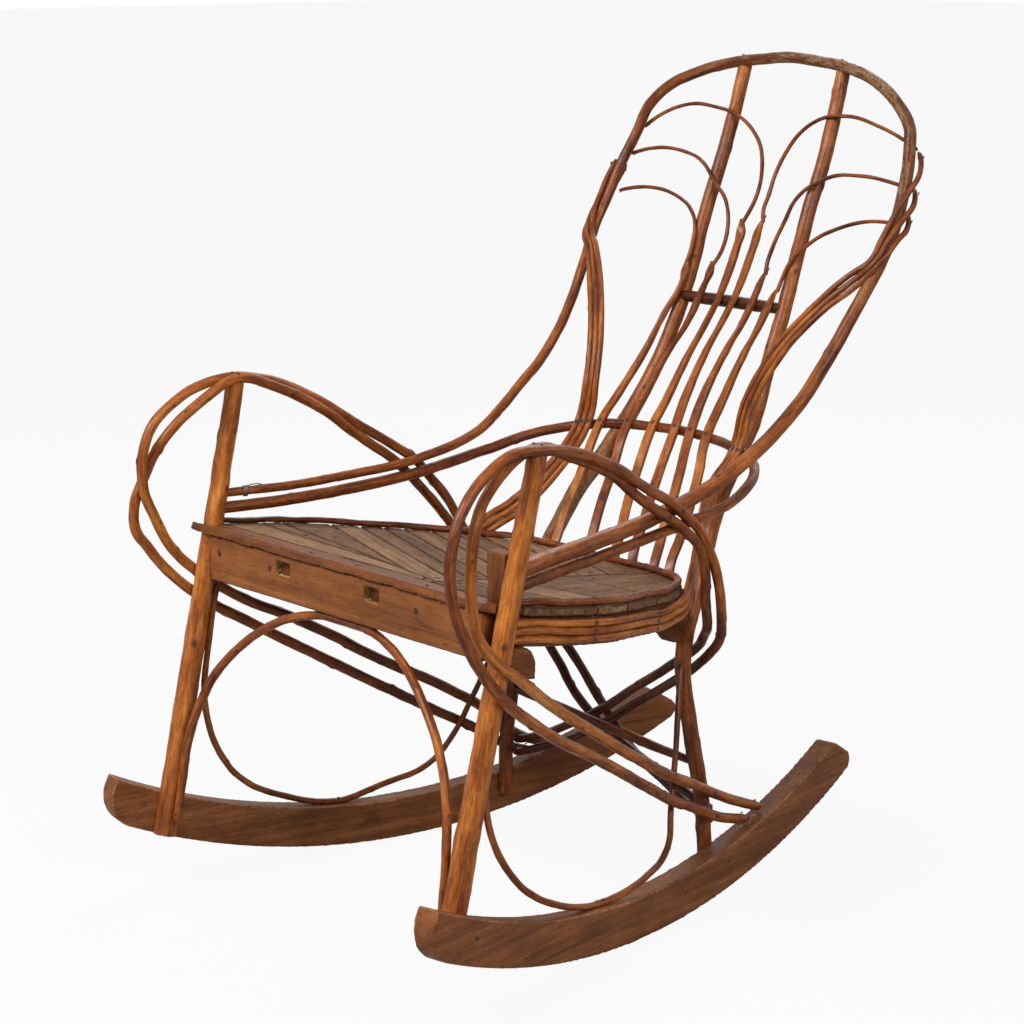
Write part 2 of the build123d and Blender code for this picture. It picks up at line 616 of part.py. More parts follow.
def rear_rail():
    """The board across the front of the back legs, deeper toward its ends."""
    y0, y1 = rear_rail_front, rear_rail_front + rear_rail_thickness
    top = seat_top(y1)
    leg = crossing(upright_points(RIGHT), "Z", top - rear_rail_end_drop)
    half = leg.X + 4
    outline = [(-half, top), (half, top), (half, top - rear_rail_end_drop), (half - 30, top - rear_rail_end_drop),
               (half - 75, top - rear_rail_drop), (75 - half, top - rear_rail_drop),
               (30 - half, top - rear_rail_end_drop), (-half, top - rear_rail_end_drop)]
    face = make_face(Polyline(*[(x, y0, z) for x, z in outline], close=True))
    return under_seat(extrude(face, rear_rail_thickness, dir=(0, 1, 0)))


def centre_batten():
    """The batten under the line where both sets of boards meet; its ends are housed in the rails."""
    y0 = rail_front + rail_thickness + ledger_depth - 8
    y1 = rear_rail_front + 8
    stretch = post_spread / drawn_spread
    (x0, front), (x1, back) = [(x * stretch, y) for x, y in APEX]
    lean = degrees(asin((x0 - x1) / hypot(x1 - x0, back - front)))
    middle = Vector((x0 + x1) / 2, (front + back) / 2, seat_top((front + back) / 2))
    place = middle - seat_plane.z_dir * (board_thickness + batten_depth / 2)
    bar = Box(batten_width, 2 * (back - front), batten_depth)
    bar = Plane(origin=place, x_dir=(1, 0, 0), z_dir=seat_plane.z_dir) * Rot(Z=lean) * bar
    return bar & board(-300, 300, y0, y1, 200, 500)


def bracket():
    """The rounded block behind the right post that the side bands rest on."""
    axis = post_axis(RIGHT, bracket_height_on_post) - Vector(bracket_aside, 0, 0)
    y0, y1 = axis.Y, axis.Y + post_radius(bracket_height_on_post) + bracket_reach
    top = saw_height
    low = seat_top(y1) - board_thickness - side_rail_depth - bracket_height
    outline = [(axis.X, y0, low + bracket_slope), (axis.X, y1, low), (axis.X, y1, top), (axis.X, y0, top)]
    face = make_face(Polyline(*outline, close=True))
    block = extrude(face, bracket_thickness / 2, dir=(1, 0, 0)) + extrude(face, bracket_thickness / 2, dir=(-1, 0, 0))
    block = under_seat(block, board_thickness + side_rail_depth)
    corner = block.edges().filter_by(Axis.X, tolerance=5).sort_by(Axis.Y)[-2:].sort_by(Axis.Z)[-1]
    return fillet(corner, bracket_height * bracket_round)


def rim_points():
    """Post to post round the back, lying on the boards."""
    above = rim_diameter / 2 + rim_clearance
    right = [on_seat(x, y, above) for x, y in edge_points(rim_inset)]
    right.append(on_seat(post_axis(RIGHT, seat_top(strip_rear)).X, strip_rear - rim_diameter, above))
    left = [Vector(-p.X, p.Y, p.Z) for p in right[1:]]
    return [*reversed(left), *right]


# ---------------------------------------------------------------- side strands
# Three thin sticks a side start behind the bow where the withes end, come round its outside to the
# front, cross the lower bow, and turn forward under the boards' edge as three stacked bands.

# Each strand's way round the bow: height there, degrees round it from the front, and how far it stands off.
WRAP = {
    (RIGHT, -1): [(852, 150, 0), (836, 115, 4), (818, 82, 2), (796, 52, 0)],
    (RIGHT, 0): [(884, 150, 0), (864, 108, 5), (838, 68, 2), (810, 30, 0), (790, 12, 0)],
    (RIGHT, 1): [(925, 150, 0), (899, 98, 7), (868, 60, 3), (838, 15, 0), (812, -10, 0), (790, -28, 0)],
    (LEFT, -1): [(882, 174, 0), (860, 159, 0), (834, 131, 0), (808, 97, 0), (786, 52, 0)],
    (LEFT, 0): [(882, 128, 0), (860, 112, 0), (834, 85, 0), (808, 51, 0), (786, 8, 0)],
    (LEFT, 1): [(882, 82, 0), (860, 65, 0), (834, 39, 0), (808, 5, 0), (786, -36, 0)],
}
BUNDLE = {
    RIGHT: [((238, 343, 768), (-0.5, 0.2, 0.8)), ((213, 323, 741), (-0.9, 0.2, 0.4)),
            ((163, 286, 669), (-1, 0.2, 0.2)), ((141, 265, 611), (-1, 0.1, 0)),
            ((131, 251, 548), (-1, 0.3, 0)), ((136, 208, 510), (-1, 0.4, 0)), ((150, 176, 478), (-0.8, 0.6, 0)),
            ((171, 146, 449), (-0.5, 0.6, -0.5)), ((193, 113, 419), (-0.3, 0.3, -0.8)),
            ((214, 80, 393), (0, 0, -1))],
    LEFT: [((-234, 343, 768), (0.5, 0.2, 0.8)), ((-208, 323, 741), (0.9, 0.2, 0.4)),
           ((-165, 286, 669), (1, 0.2, 0.2)), ((-148, 263, 611), (1, 0.1, 0)),
           ((-147.5, 246.5, 548), (1, 0.4, 0)), ((-144, 210, 510), (1, 0.4, 0)), ((-153, 180, 478), (0.8, 0.6, 0)),
           ((-170, 150, 446), (0.5, 0.6, -0.5)), ((-193, 113, 419), (0.3, 0.3, -0.8)),
           ((-214, 80, 393), (0, 0, -1))],
}
BAND_EDGE = range(5, 10)     # which points of the seat's edge the bands follow


def bow_radius(share):
    """The bow's half girth at a share of its length from the left post."""
    first, second = (bow_tip_diameter, bow_crown_diameter), (bow_crown_diameter, bow_butt_diameter)
    a, b = first if share < 0.5 else second
    return (a + (b - a) * (2 * share % 1)) / 2


def wrap_points(bow, side, place):
    """A strand's way round the bow's outside, from behind it to its front."""
    half = [at(side * x, y, z) for x, y, z in BOW_HALF]
    points = []
    for height, angle, stand_off in WRAP[side, place]:
        centre = nearest(bow, crossing(half, "Z", at(0, 0, height).Z))
        share = bow.param_at_point(centre)
        along = bow % share
        front = (Vector(0, -1, 0) - along * along.dot(Vector(0, -1, 0))).normalized()
        outer = along.cross(front) * (side if along.cross(front).X > 0 else -side)
        reach = bow_radius(share) + strand_diameter / 2 - lap / 2 + stand_off
        turn = radians(angle)
        points.append(centre + (front * cos(turn) + outer * sin(turn)) * reach)
    return points


def strand_points(bow, side, place):
    """One strand: place 1 becomes the lowest band, -1 the highest."""
    edge = edge_points(band_inset)
    bands = [on_seat(side * edge[i][0], edge[i][1], -band_drop - band_pitch) for i in BAND_EDGE]
    bands.append(post_axis(side, seat_top(strip_rear) - band_drop - band_pitch))
    middle = [at(*point) for point, _ in BUNDLE[side]] + bands
    spreads = [Vector(*spread) for _, spread in BUNDLE[side]] + [-seat_plane.z_dir] * len(bands)
    points = wrap_points(bow, side, place)
    for point, spread, along in zip(middle, spreads, tangents(middle)):
        across = (spread - along * along.dot(spread)).normalized()
        pitch = strand_pitch if spread.Z > -0.9 else band_pitch
        points.append(point + across * pitch * place)
    return points


# ---------------------------------------------------------------- nails

def nail(head, direction, length):
    """A wire nail, its head hammered a little way into the surface at the given place."""
    direction = Vector(*direction).normalized() if isinstance(direction, tuple) else direction.normalized()
    seat = head + direction * head_sink
    top = seat - direction * head_thickness
    return rod(top, seat, head_diameter) + rod(seat, head + direction * length, shank_diameter)


def nail_at(outer, inner, cover, bite):
    """A nail through the stick at `outer`, whose half girth is `cover`, into the one at `inner`."""
    direction = (inner - outer).normalized()
    return nail(outer - direction * cover, direction, 2 * cover + bite)


def nail_crossing(path, other, cover, bite):
    """A nail where one stick's centreline comes nearest to another's."""
    _, here, there = path.distance_to_with_closest_points(other)
    return nail_at(here, there, cover, bite)


# ---------------------------------------------------------------- assembly

pieces = {}
paths = {}


def keep(name, shape, *against):
    """Keep a piece under its name, cut back to the faces of the named earlier pieces."""
    for other in against:
        shape = shape - pieces[other]
    pieces[name] = max(shape.solids(), key=lambda body: body.volume)


def lay(name, points, diameter, *against):
    """Keep a round stick along the points."""
    paths[name] = smooth(points)
    keep(name, stick(paths[name], diameter), *against)


def house(name, *others):
    """Cut the seats of the other pieces into this one."""
    keep(name, pieces[name], *others)


for side, hand in SIDES:
    keep(f"rocker_{hand}", rocker(side))
    keep(f"front_post_{hand}", front_post(side), f"rocker_{hand}")
    lay(f"back_post_{hand}", upright_points(side), upright_diameter, f"rocker_{hand}")

posts = [f"front_post_{hand}" for _, hand in SIDES]
legs = [f"back_post_{hand}" for _, hand in SIDES]

paths["back_bow"] = smooth(bow_points(BOW_HALF, bow_crown, BOW_SOCKET_Z))
keep("back_bow", tapered_stick(paths["back_bow"], (bow_tip_diameter, bow_crown_diameter, bow_butt_diameter)))
lay("lower_back_bow", bow_points(LOWER_BOW_HALF, lower_bow_back, LOWER_SOCKET_Z), lower_bow_diameter)
for post in posts:
    house(post, "back_bow", "lower_back_bow")
for leg in legs:
    house(leg, "back_bow", "lower_back_bow")

leg_paths = [upright_points(side) for side, _ in SIDES]
crossbar_ends = [crossing(p, "Z", crossbar_z) - Vector(0, crossbar_forward, 0) for p in leg_paths]
paths["back_crossbar"] = smooth(crossbar_ends)
keep("back_crossbar", rung(*crossbar_ends, crossbar_diameter))
keep("rear_stretcher", rung(*[crossing(p, "Z", z) for p, z in zip(leg_paths, stretcher_z)], stretcher_diameter))
for leg in legs:
    house(leg, "back_crossbar", "rear_stretcher")

keep("front_seat_rail", front_rail(), *posts)
keep("front_ledger", front_ledger())
keep("rear_seat_rail", rear_rail(), *legs)
keep("seat_centre_batten", centre_batten())
house("front_ledger", "seat_centre_batten")
house("rear_seat_rail", "seat_centre_batten")
for side, hand in SIDES:
    keep(f"seat_cleat_{hand}", cleat(side), *posts, "front_seat_rail", "front_ledger", "back_bow", "lower_back_bow")
    keep(f"seat_side_rail_{hand}", side_rail(side), *posts, f"seat_cleat_{hand}", "front_ledger", "rear_seat_rail",
         "seat_centre_batten", *legs)
keep("seat_front_strip", front_strip() - [front_post(side, fit_gap) for side, _ in SIDES], "seat_cleat_right")
boards = []
for number, shape in enumerate(seat_boards(), start=1):
    boards.append(f"seat_board_{number:02d}")
    keep(boards[-1], shape - [front_post(side, fit_gap) for side, _ in SIDES], "seat_cleat_right")
lay("seat_rim_rod", rim_points(), rim_diameter, *posts, "seat_cleat_right")

for number in SLATS:
    name = f"slat_{number}"
    paths[name] = smooth([at(*p) for p in SLATS[number]])
    paths[f"withe_{number}"] = smooth(withe_points(number, paths[name]))
    keep(name, slat(paths[name], paths[f"withe_{number}"]), "rear_seat_rail", "back_bow", *legs)
    house("back_crossbar", name)
    house("lower_back_bow", name)

for side, hand in SIDES:
    laid = ["back_bow", "lower_back_bow", f"front_post_{hand}", f"seat_side_rail_{hand}"]
    for place in (-1, 0, 1):
        name = f"side_strand_{hand}_{place + 2}"
        lay(name, strand_points(paths["back_bow"], side, place), strand_diameter, *laid)
        laid.append(name)
    lay(f"side_brace_{hand}", brace_points(side), brace_diameter, f"front_post_{hand}", f"back_post_{hand}",
        f"rocker_{hand}")
lay("front_arch", arch_points(), arch_diameter, *posts, "front_seat_rail")
laid = [*posts, *legs, "back_bow", "lower_back_bow", "rocker_left", "rocker_right", "side_brace_left",
        "side_brace_right"]
for side, hand in SIDES:
    for place in ("outer", "inner"):
        name = f"arm_rod_{hand}_{place}"
        lay(name, arm_points(side, hand, place), arm_diameter, *laid)
        laid.append(name)
keep("seat_bracket_right", bracket(), "front_post_right", "seat_side_rail_right", "seat_cleat_right",
     "side_brace_right", "arm_rod_right_inner")

# ---------------------------------------------------------------- nails, each bored through what it holds

groups = {"rocker_nails": [], "frame_nails": [], "seat_nails": []}
bores = {}


def drive(group, body, *through):
    groups[group].append(body)
    for name in through:
        bores.setdefault(name, []).append(body)


arm_radius = arm_diameter / 2
up = Vector(0, 0, 1)
for side, hand in SIDES:
    rocker_name, post, leg = f"rocker_{hand}", f"front_post_{hand}", f"back_post_{hand}"
    foot = post_axis(side, post_nail_z)
    heel = crossing(upright_points(side), "Z", leg_nail_z)
    inward = Vector(-side * cos(radians(rocker_toe_in)), -sin(radians(rocker_toe_in)), 0)
    for place, name in ((foot, post), (heel, leg)):
        face = rocker_thickness + (post_foot_diameter / 2 - post_foot_lap if name == post else
                                   upright_diameter / 2 - leg_foot_lap)
        drive("rocker_nails", nail(place - inward * face, inward, rocker_nail_length), rocker_name, name)
    for place in ("outer", "inner"):
        name = f"arm_rod_{hand}_{place}"
        points = arm_points(side, hand, place)
        passing, tail = points[1], points[-1]
        start = points[0] + (points[1] - points[0]).normalized() * arm_diameter
        drive("frame_nails", nail(start + up * arm_radius, -up, 2 * arm_radius + nail_bite), name, rocker_name)
        over = points[2 + len(ARM_RISE[hand, place])]
        drive("frame_nails", nail(over + up * arm_radius, -up, 2 * arm_radius + nail_bite), name, post)
        drive("frame_nails", nail_at(passing, crossing(upright_points(side), "Z", passing.Z), arm_radius, nail_bite),
              name, leg)
        far_leg = legs[0] if leg == legs[1] else legs[1]
        near_end = nearest(paths[name], tail - (tail - points[-2]).normalized() * arm_diameter / 2)
        drive("frame_nails", nail(near_end + Vector(0, arm_radius, 0), (0, -1, 0), arm_diameter + nail_bite), name,
              far_leg)
        drive("frame_nails", nail_crossing(paths[name], paths["back_bow"], arm_radius, nail_bite), name, "back_bow")
    brace = f"side_brace_{hand}"
    points = brace_points(side)
    thin = brace_diameter / 2
    for place, axis, name in ((points[1], post_axis(side, points[1].Z), post),
                              (points[-1], crossing(upright_points(side), "Z", points[-1].Z - 4), leg)):
        here = nearest(paths[brace], place + Vector(0, 0, 6 if name == post else -6))
        drive("frame_nails", nail_at(here, axis, thin, nail_bite), brace, name)
    low = points[6]
    drive("frame_nails", nail(low + up * thin, -up, 2 * thin + nail_bite), brace, rocker_name)
    arch_foot = arch_points()[0 if side == LEFT else -1]
    foot_up = nearest(paths["front_arch"], arch_foot + up * 26)
    drive("frame_nails", nail_at(foot_up, post_axis(side, foot_up.Z), arch_diameter / 2, nail_bite), "front_arch",
          post)
    for place in (-1, 0, 1):
        name = f"side_strand_{hand}_{place + 2}"
        path = paths[name]
        thick = strand_diameter / 2
        start = path @ (strand_diameter / path.length)
        drive("frame_nails", nail_at(start, nearest(paths["back_bow"], start), thick, nail_bite / 2), name,
              "back_bow")
        drive("frame_nails", nail_crossing(path, paths["lower_back_bow"], thick, nail_bite / 2), name,
              "lower_back_bow")
        for i in BAND_NAILS:
            (x0, y0), (x1, y1) = between(edge_points(0), i), between(edge_points(side_rail_inset), i)
            target = on_seat(side * x1, y1, -band_drop - band_pitch * (place + 1))
            away = Vector(side * (x0 - x1), y0 - y1, 0).normalized()
            here = nearest(path, target)
            drive("seat_nails", nail(here + away * thick, -away, strand_diameter + side_rail_thickness - 3), name,
                  f"seat_side_rail_{hand}")
    top = crossing(upright_points(side), "Z", upright_points(side)[-1].Z - 4)
    crown = nearest(paths["back_bow"], top)
    drive("frame_nails", nail_at(crown, upright_points(side)[-2], bow_crown_diameter / 2 + 0.4, 2 * nail_bite),
          "back_bow", leg)
    heel = crossing(upright_points(side), "Z", rear_rail_nail_z)
    drive("seat_nails", nail(heel + Vector(0, upright_diameter / 2 + 0.6, 0), (0, -1, 0), 2 * nail_bite), leg,
          "rear_seat_rail")
for number in SLATS:
    name, flat = f"slat_{number}", paths[f"slat_{number}"]
    withe = paths[f"withe_{number}"]
    drive("frame_nails", nail_crossing(flat, paths["lower_back_bow"], slat_thickness / 2, nail_bite / 2), name,
          "lower_back_bow")
    if number > 1:
        drive("frame_nails", nail_crossing(flat, paths["back_crossbar"], slat_thickness / 2, nail_bite / 2), name,
              "back_crossbar")
    end = withe @ (1 - withe_nail_from_end / withe.length)
    hoop = nearest(paths["back_bow"], end)
    drive("frame_nails", nail_at(nearest(withe, hoop), hoop, withe_diameter / 2, nail_bite / 2), name, "back_bow")
    low = nearest(flat, (flat @ 0) + up * 18)
    drive("frame_nails", nail(low + Vector(0, slat_thickness / 2 + 0.1, 0), (0, -1, 0), slat_thickness + nail_bite),
          name, "rear_seat_rail")

down = -seat_plane.z_dir
for side, hand in SIDES:
    for x, names in ((rail_half_length() - 10, ("front_seat_rail", f"seat_cleat_{hand}")),
                     (rail_half_length() * 0.55, ("front_seat_rail", "front_ledger"))):
        place = Vector(side * x, rail_front, rail_bottom + rail_nail_rise)
        drive("seat_nails", nail(place, (0, 1, 0), rail_thickness + nail_bite), *names)
for x in STRIP_NAILS:
    y = rail_front + rail_thickness / 2
    drive("seat_nails", nail(on_seat(x * post_spread / drawn_spread, y, 0), down, board_thickness + nail_bite),
          "seat_front_strip", "front_seat_rail")
line = Vector(APEX[1][0] - APEX[0][0], APEX[1][1] - APEX[0][1], 0).normalized()
for name in boards:
    body = pieces[name]
    side = LEFT if body.center().X < APEX[1][0] * post_spread / drawn_spread else RIGHT
    aside = Vector(side * batten_width / 3, 0, 0)
    apex = Vector(APEX[1][0] * post_spread / drawn_spread, APEX[1][1], 0) + aside
    knife = Plane(origin=apex + up * 350, x_dir=line, z_dir=line.cross(up)) * Rectangle(1200, 400)
    cut = body & knife
    middle = cut.center() if cut else body.center()
    drive("seat_nails", nail(on_seat(middle.X, middle.Y, 0), down, board_thickness + nail_bite), name,
          "seat_centre_batten")

for name, bodies in bores.items():
    keep(name, pieces[name] - bodies)
for group, bodies in groups.items():
    pieces[group] = Compound(children=bodies)

# ---------------------------------------------------------------- wire tie

bow = paths["back_bow"]
turns = []
for turn in range(tie_turns):
    share = (tie_from_post + turn * tie_diameter * 1.1) / bow.length
    girth = bow_tip_diameter + (bow_crown_diameter - bow_tip_diameter) * 2 * share
    turns.append(Plane(origin=bow @ share, z_dir=bow % share) * Torus(girth / 2 + tie_diameter / 2 + 0.1,
                                                                      tie_diameter / 2))
pieces["wire_tie"] = Compound(children=turns)

if __name__ == "__main__":
    os.makedirs("parts", exist_ok=True)
    for name, shape in pieces.items():
        export_step(shape, f"parts/{name}.step")
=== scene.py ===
"""A bentwood rocking chair of hickory sticks, sawn rockers and a split-board seat, dressed on its frame."""
import logging
import random
from dataclasses import dataclass, field
from enum import Enum
from math import acos, ceil, cos, hypot, pi, radians, sin, sqrt, tan
from typing import Sequence

import bmesh
import bpy
import numpy as np
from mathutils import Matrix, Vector
from mathutils.kdtree import KDTree


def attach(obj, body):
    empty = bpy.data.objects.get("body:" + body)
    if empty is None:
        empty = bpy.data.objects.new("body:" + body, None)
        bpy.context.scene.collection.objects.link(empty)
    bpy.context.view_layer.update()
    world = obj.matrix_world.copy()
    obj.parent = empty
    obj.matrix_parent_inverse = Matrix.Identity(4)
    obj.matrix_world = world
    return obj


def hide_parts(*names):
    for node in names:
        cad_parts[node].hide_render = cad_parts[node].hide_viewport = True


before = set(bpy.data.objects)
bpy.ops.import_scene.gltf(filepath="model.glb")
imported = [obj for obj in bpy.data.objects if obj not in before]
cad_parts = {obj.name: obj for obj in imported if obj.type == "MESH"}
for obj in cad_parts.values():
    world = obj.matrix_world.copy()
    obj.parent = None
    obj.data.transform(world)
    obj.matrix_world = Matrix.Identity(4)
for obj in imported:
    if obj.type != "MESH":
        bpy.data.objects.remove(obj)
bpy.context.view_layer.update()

MM = 0.001
BODY = "root"
LEFT, RIGHT = -1, 1
SIDES = ((LEFT, "left"), (RIGHT, "right"))
log = logging.getLogger("rocking_chair")


class Slot(Enum):
    """The record's material slots."""

    ROCKER = "oak_rocker"
    STICK = "hickory_stick"
    BOARD = "split_board"
    RAIL = "sawn_rail"
    IRON = "nail_iron"
    WIRE = "tie_wire"


class Profile(Enum):
    """The cross-section of a stick: round, or split flat."""

    ROUND = "round"
    FLAT = "flat"


# ---------------------------------------------------------------- node trees

class Value:
    """A node socket that arithmetic is written with; each sign adds a Math node."""

    def __init__(self, graph: "Graph", socket: bpy.types.NodeSocket) -> None:
        """Wrap a socket of the graph's tree."""
        self.graph, self.socket = graph, socket

    def __add__(self, other: "Value | float") -> "Value":
        """This plus the other."""
        return self.graph.math("ADD", self, other)

    def __sub__(self, other: "Value | float") -> "Value":
        """This less the other."""
        return self.graph.math("SUBTRACT", self, other)

    def __rsub__(self, other: float) -> "Value":
        """A number less this."""
        return self.graph.math("SUBTRACT", other, self)

    def __mul__(self, other: "Value | float") -> "Value":
        """This times the other."""
        return self.graph.math("MULTIPLY", self, other)

    def __truediv__(self, other: "Value | float") -> "Value":
        """This over the other."""
        return self.graph.math("DIVIDE", self, other)

    __radd__ = __add__
    __rmul__ = __mul__


class Graph:
    """A shader or geometry node tree that is written in calls."""

    def __init__(self, tree: bpy.types.NodeTree) -> None:
        """Wrap a tree."""
        self.tree = tree

    def node(self, kind: str, settings: dict | None = None, inputs: dict | None = None) -> bpy.types.Node:
        """Add a node.

        Args:
            kind: the node's type.
            settings: its own settings, set first; "stops" are a ramp's places and colours.
            inputs: numbers, colours or Values for its sockets, by name or place.

        Returns:
            The new node.
        """
        made = self.tree.nodes.new(kind)
        for key, value in (settings or {}).items():
            if key == "stops":
                ramp = made.color_ramp
                while len(ramp.elements) < len(value):
                    ramp.elements.new(1.0)
                for element, (place, colour) in zip(ramp.elements, value):
                    element.position, element.color = place, (*colour, 1.0)
            else:
                setattr(made, key, value)
        for key, value in (inputs or {}).items():
            if isinstance(value, Value):
                self.tree.links.new(value.socket, made.inputs[key])
            else:
                made.inputs[key].default_value = value
        return made

    def get(self, made: bpy.types.Node, key: str | int = 0) -> Value:
        """A node's output as a Value."""
        return Value(self, made.outputs[key])

    def of(self, kind: str, inputs: dict | None = None, settings: dict | None = None, key: str | int = 0) -> Value:
        """The output of a new node."""
        return self.get(self.node(kind, settings, inputs), key)

    def math(self, operation: str, *values: "Value | float") -> Value:
        """A Math node on two or three values."""
        return self.of("ShaderNodeMath", dict(enumerate(values)), {"operation": operation})

    def vmath(self, operation: str, *values: "Value | tuple", output: str | int = 0,
              **inputs: "Value | float") -> Value:
        """A Vector Math node; the inputs by name are for its Scale."""
        sockets = {**dict(enumerate(values)), **inputs}
        return self.of("ShaderNodeVectorMath", sockets, {"operation": operation}, output)

    def centred(self, colour: Value) -> Value:
        """A noise colour moved to lie round zero."""
        return self.vmath("SUBTRACT", colour, (0.5, 0.5, 0.5))

    def combine(self, x: "Value | float", y: "Value | float", z: "Value | float") -> Value:
        """A vector of three values."""
        return self.of("ShaderNodeCombineXYZ", {"X": x, "Y": y, "Z": z})

    def named(self, name: str, kind: str = "FLOAT") -> Value:
        """An attribute that the geometry carries."""
        return self.of("GeometryNodeInputNamedAttribute", {"Name": name}, {"data_type": kind}, "Attribute")

    def store(self, geometry: Value, name: str, value: Value, kind: str = "FLOAT", domain: str = "POINT") -> Value:
        """The geometry with an attribute added."""
        return self.of("GeometryNodeStoreNamedAttribute", {"Geometry": geometry, "Name": name, "Value": value},
                       {"data_type": kind, "domain": domain})

    def moved(self, geometry: Value, offset: Value) -> Value:
        """The geometry with its points moved."""
        return self.of("GeometryNodeSetPosition", {"Geometry": geometry, "Offset": offset})

    def shaded(self, geometry: Value) -> Value:
        """The geometry with smooth shading."""
        return self.of("GeometryNodeSetShadeSmooth", {"Geometry": geometry, "Shade Smooth": True})

    def split(self, vector: Value) -> list[Value]:
        """The three parts of a vector."""
        made = self.node("ShaderNodeSeparateXYZ", None, {0: vector})
        return [self.get(made, i) for i in range(3)]

    def smoothly(self, value: Value, low: float, high: float, start: float = 0.0, end: float = 1.0) -> Value:
        """A soft step from start to end as the value goes from low to high."""
        return self.of("ShaderNodeMapRange", {0: value, 1: low, 2: high, 3: start, 4: end},
                       {"interpolation_type": "SMOOTHSTEP"})

    def noise(self, vector: Value, stretch: tuple[float, float, float], detail: float = 3.0, roughness: float = 0.55,
              distortion: float = 0.0, output: str = "Fac") -> Value:
        """Noise whose cells per metre along each axis are the stretch."""
        scaled = self.vmath("MULTIPLY", vector, stretch)
        sockets = {"Vector": scaled, "Scale": 1.0, "Detail": detail, "Roughness": roughness,
                   "Distortion": distortion}
        return self.of("ShaderNodeTexNoise", sockets, {"noise_dimensions": "3D"}, output)

    def mix(self, factor: "Value | float", a: "Value | tuple", b: "Value | tuple", blend: str = "MIX") -> Value:
        """A colour between two."""
        sockets = {0: factor, 6: a if isinstance(a, Value) else (*a, 1.0), 7: b if isinstance(b, Value) else (*b, 1.0)}
        settings = {"data_type": "RGBA", "blend_type": blend, "clamp_factor": True}
        return self.of("ShaderNodeMix", sockets, settings, 2)

    def ramp(self, value: Value, stops: Sequence[tuple[float, tuple[float, float, float]]]) -> Value:
        """Colours along a value."""
        return self.of("ShaderNodeValToRGB", {0: value}, {"stops": stops})


class Surface(Graph):
    """The shader tree of one finish."""

    def __init__(self, name: str) -> None:
        """Start an empty material."""
        self.material = bpy.data.materials.new(name)
        self.material.use_nodes = True
        super().__init__(self.material.node_tree)
        self.tree.nodes.clear()

    def carried(self, name: str, output: str = "Fac") -> Value:
        """A piece's own attribute."""
        return self.of("ShaderNodeAttribute", None, {"attribute_name": name}, output)

    def bump(self, height: Value, distance: float, strength: float = 1.0) -> Value:
        """Relief of a height from 0 to 1; the distance is in metres."""
        return self.of("ShaderNodeBump", {"Strength": strength, "Distance": distance, "Height": height})

    def close(self, **sockets: "Value | float | tuple") -> bpy.types.Material:
        """End in a Principled shader; an underscore in a name is a space."""
        inputs = {key.replace("_", " "): value for key, value in sockets.items()}
        shader = self.of("ShaderNodeBsdfPrincipled", inputs)
        self.node("ShaderNodeOutputMaterial", None, {"Surface": shader})
        return self.material


# ---------------------------------------------------------------- finishes

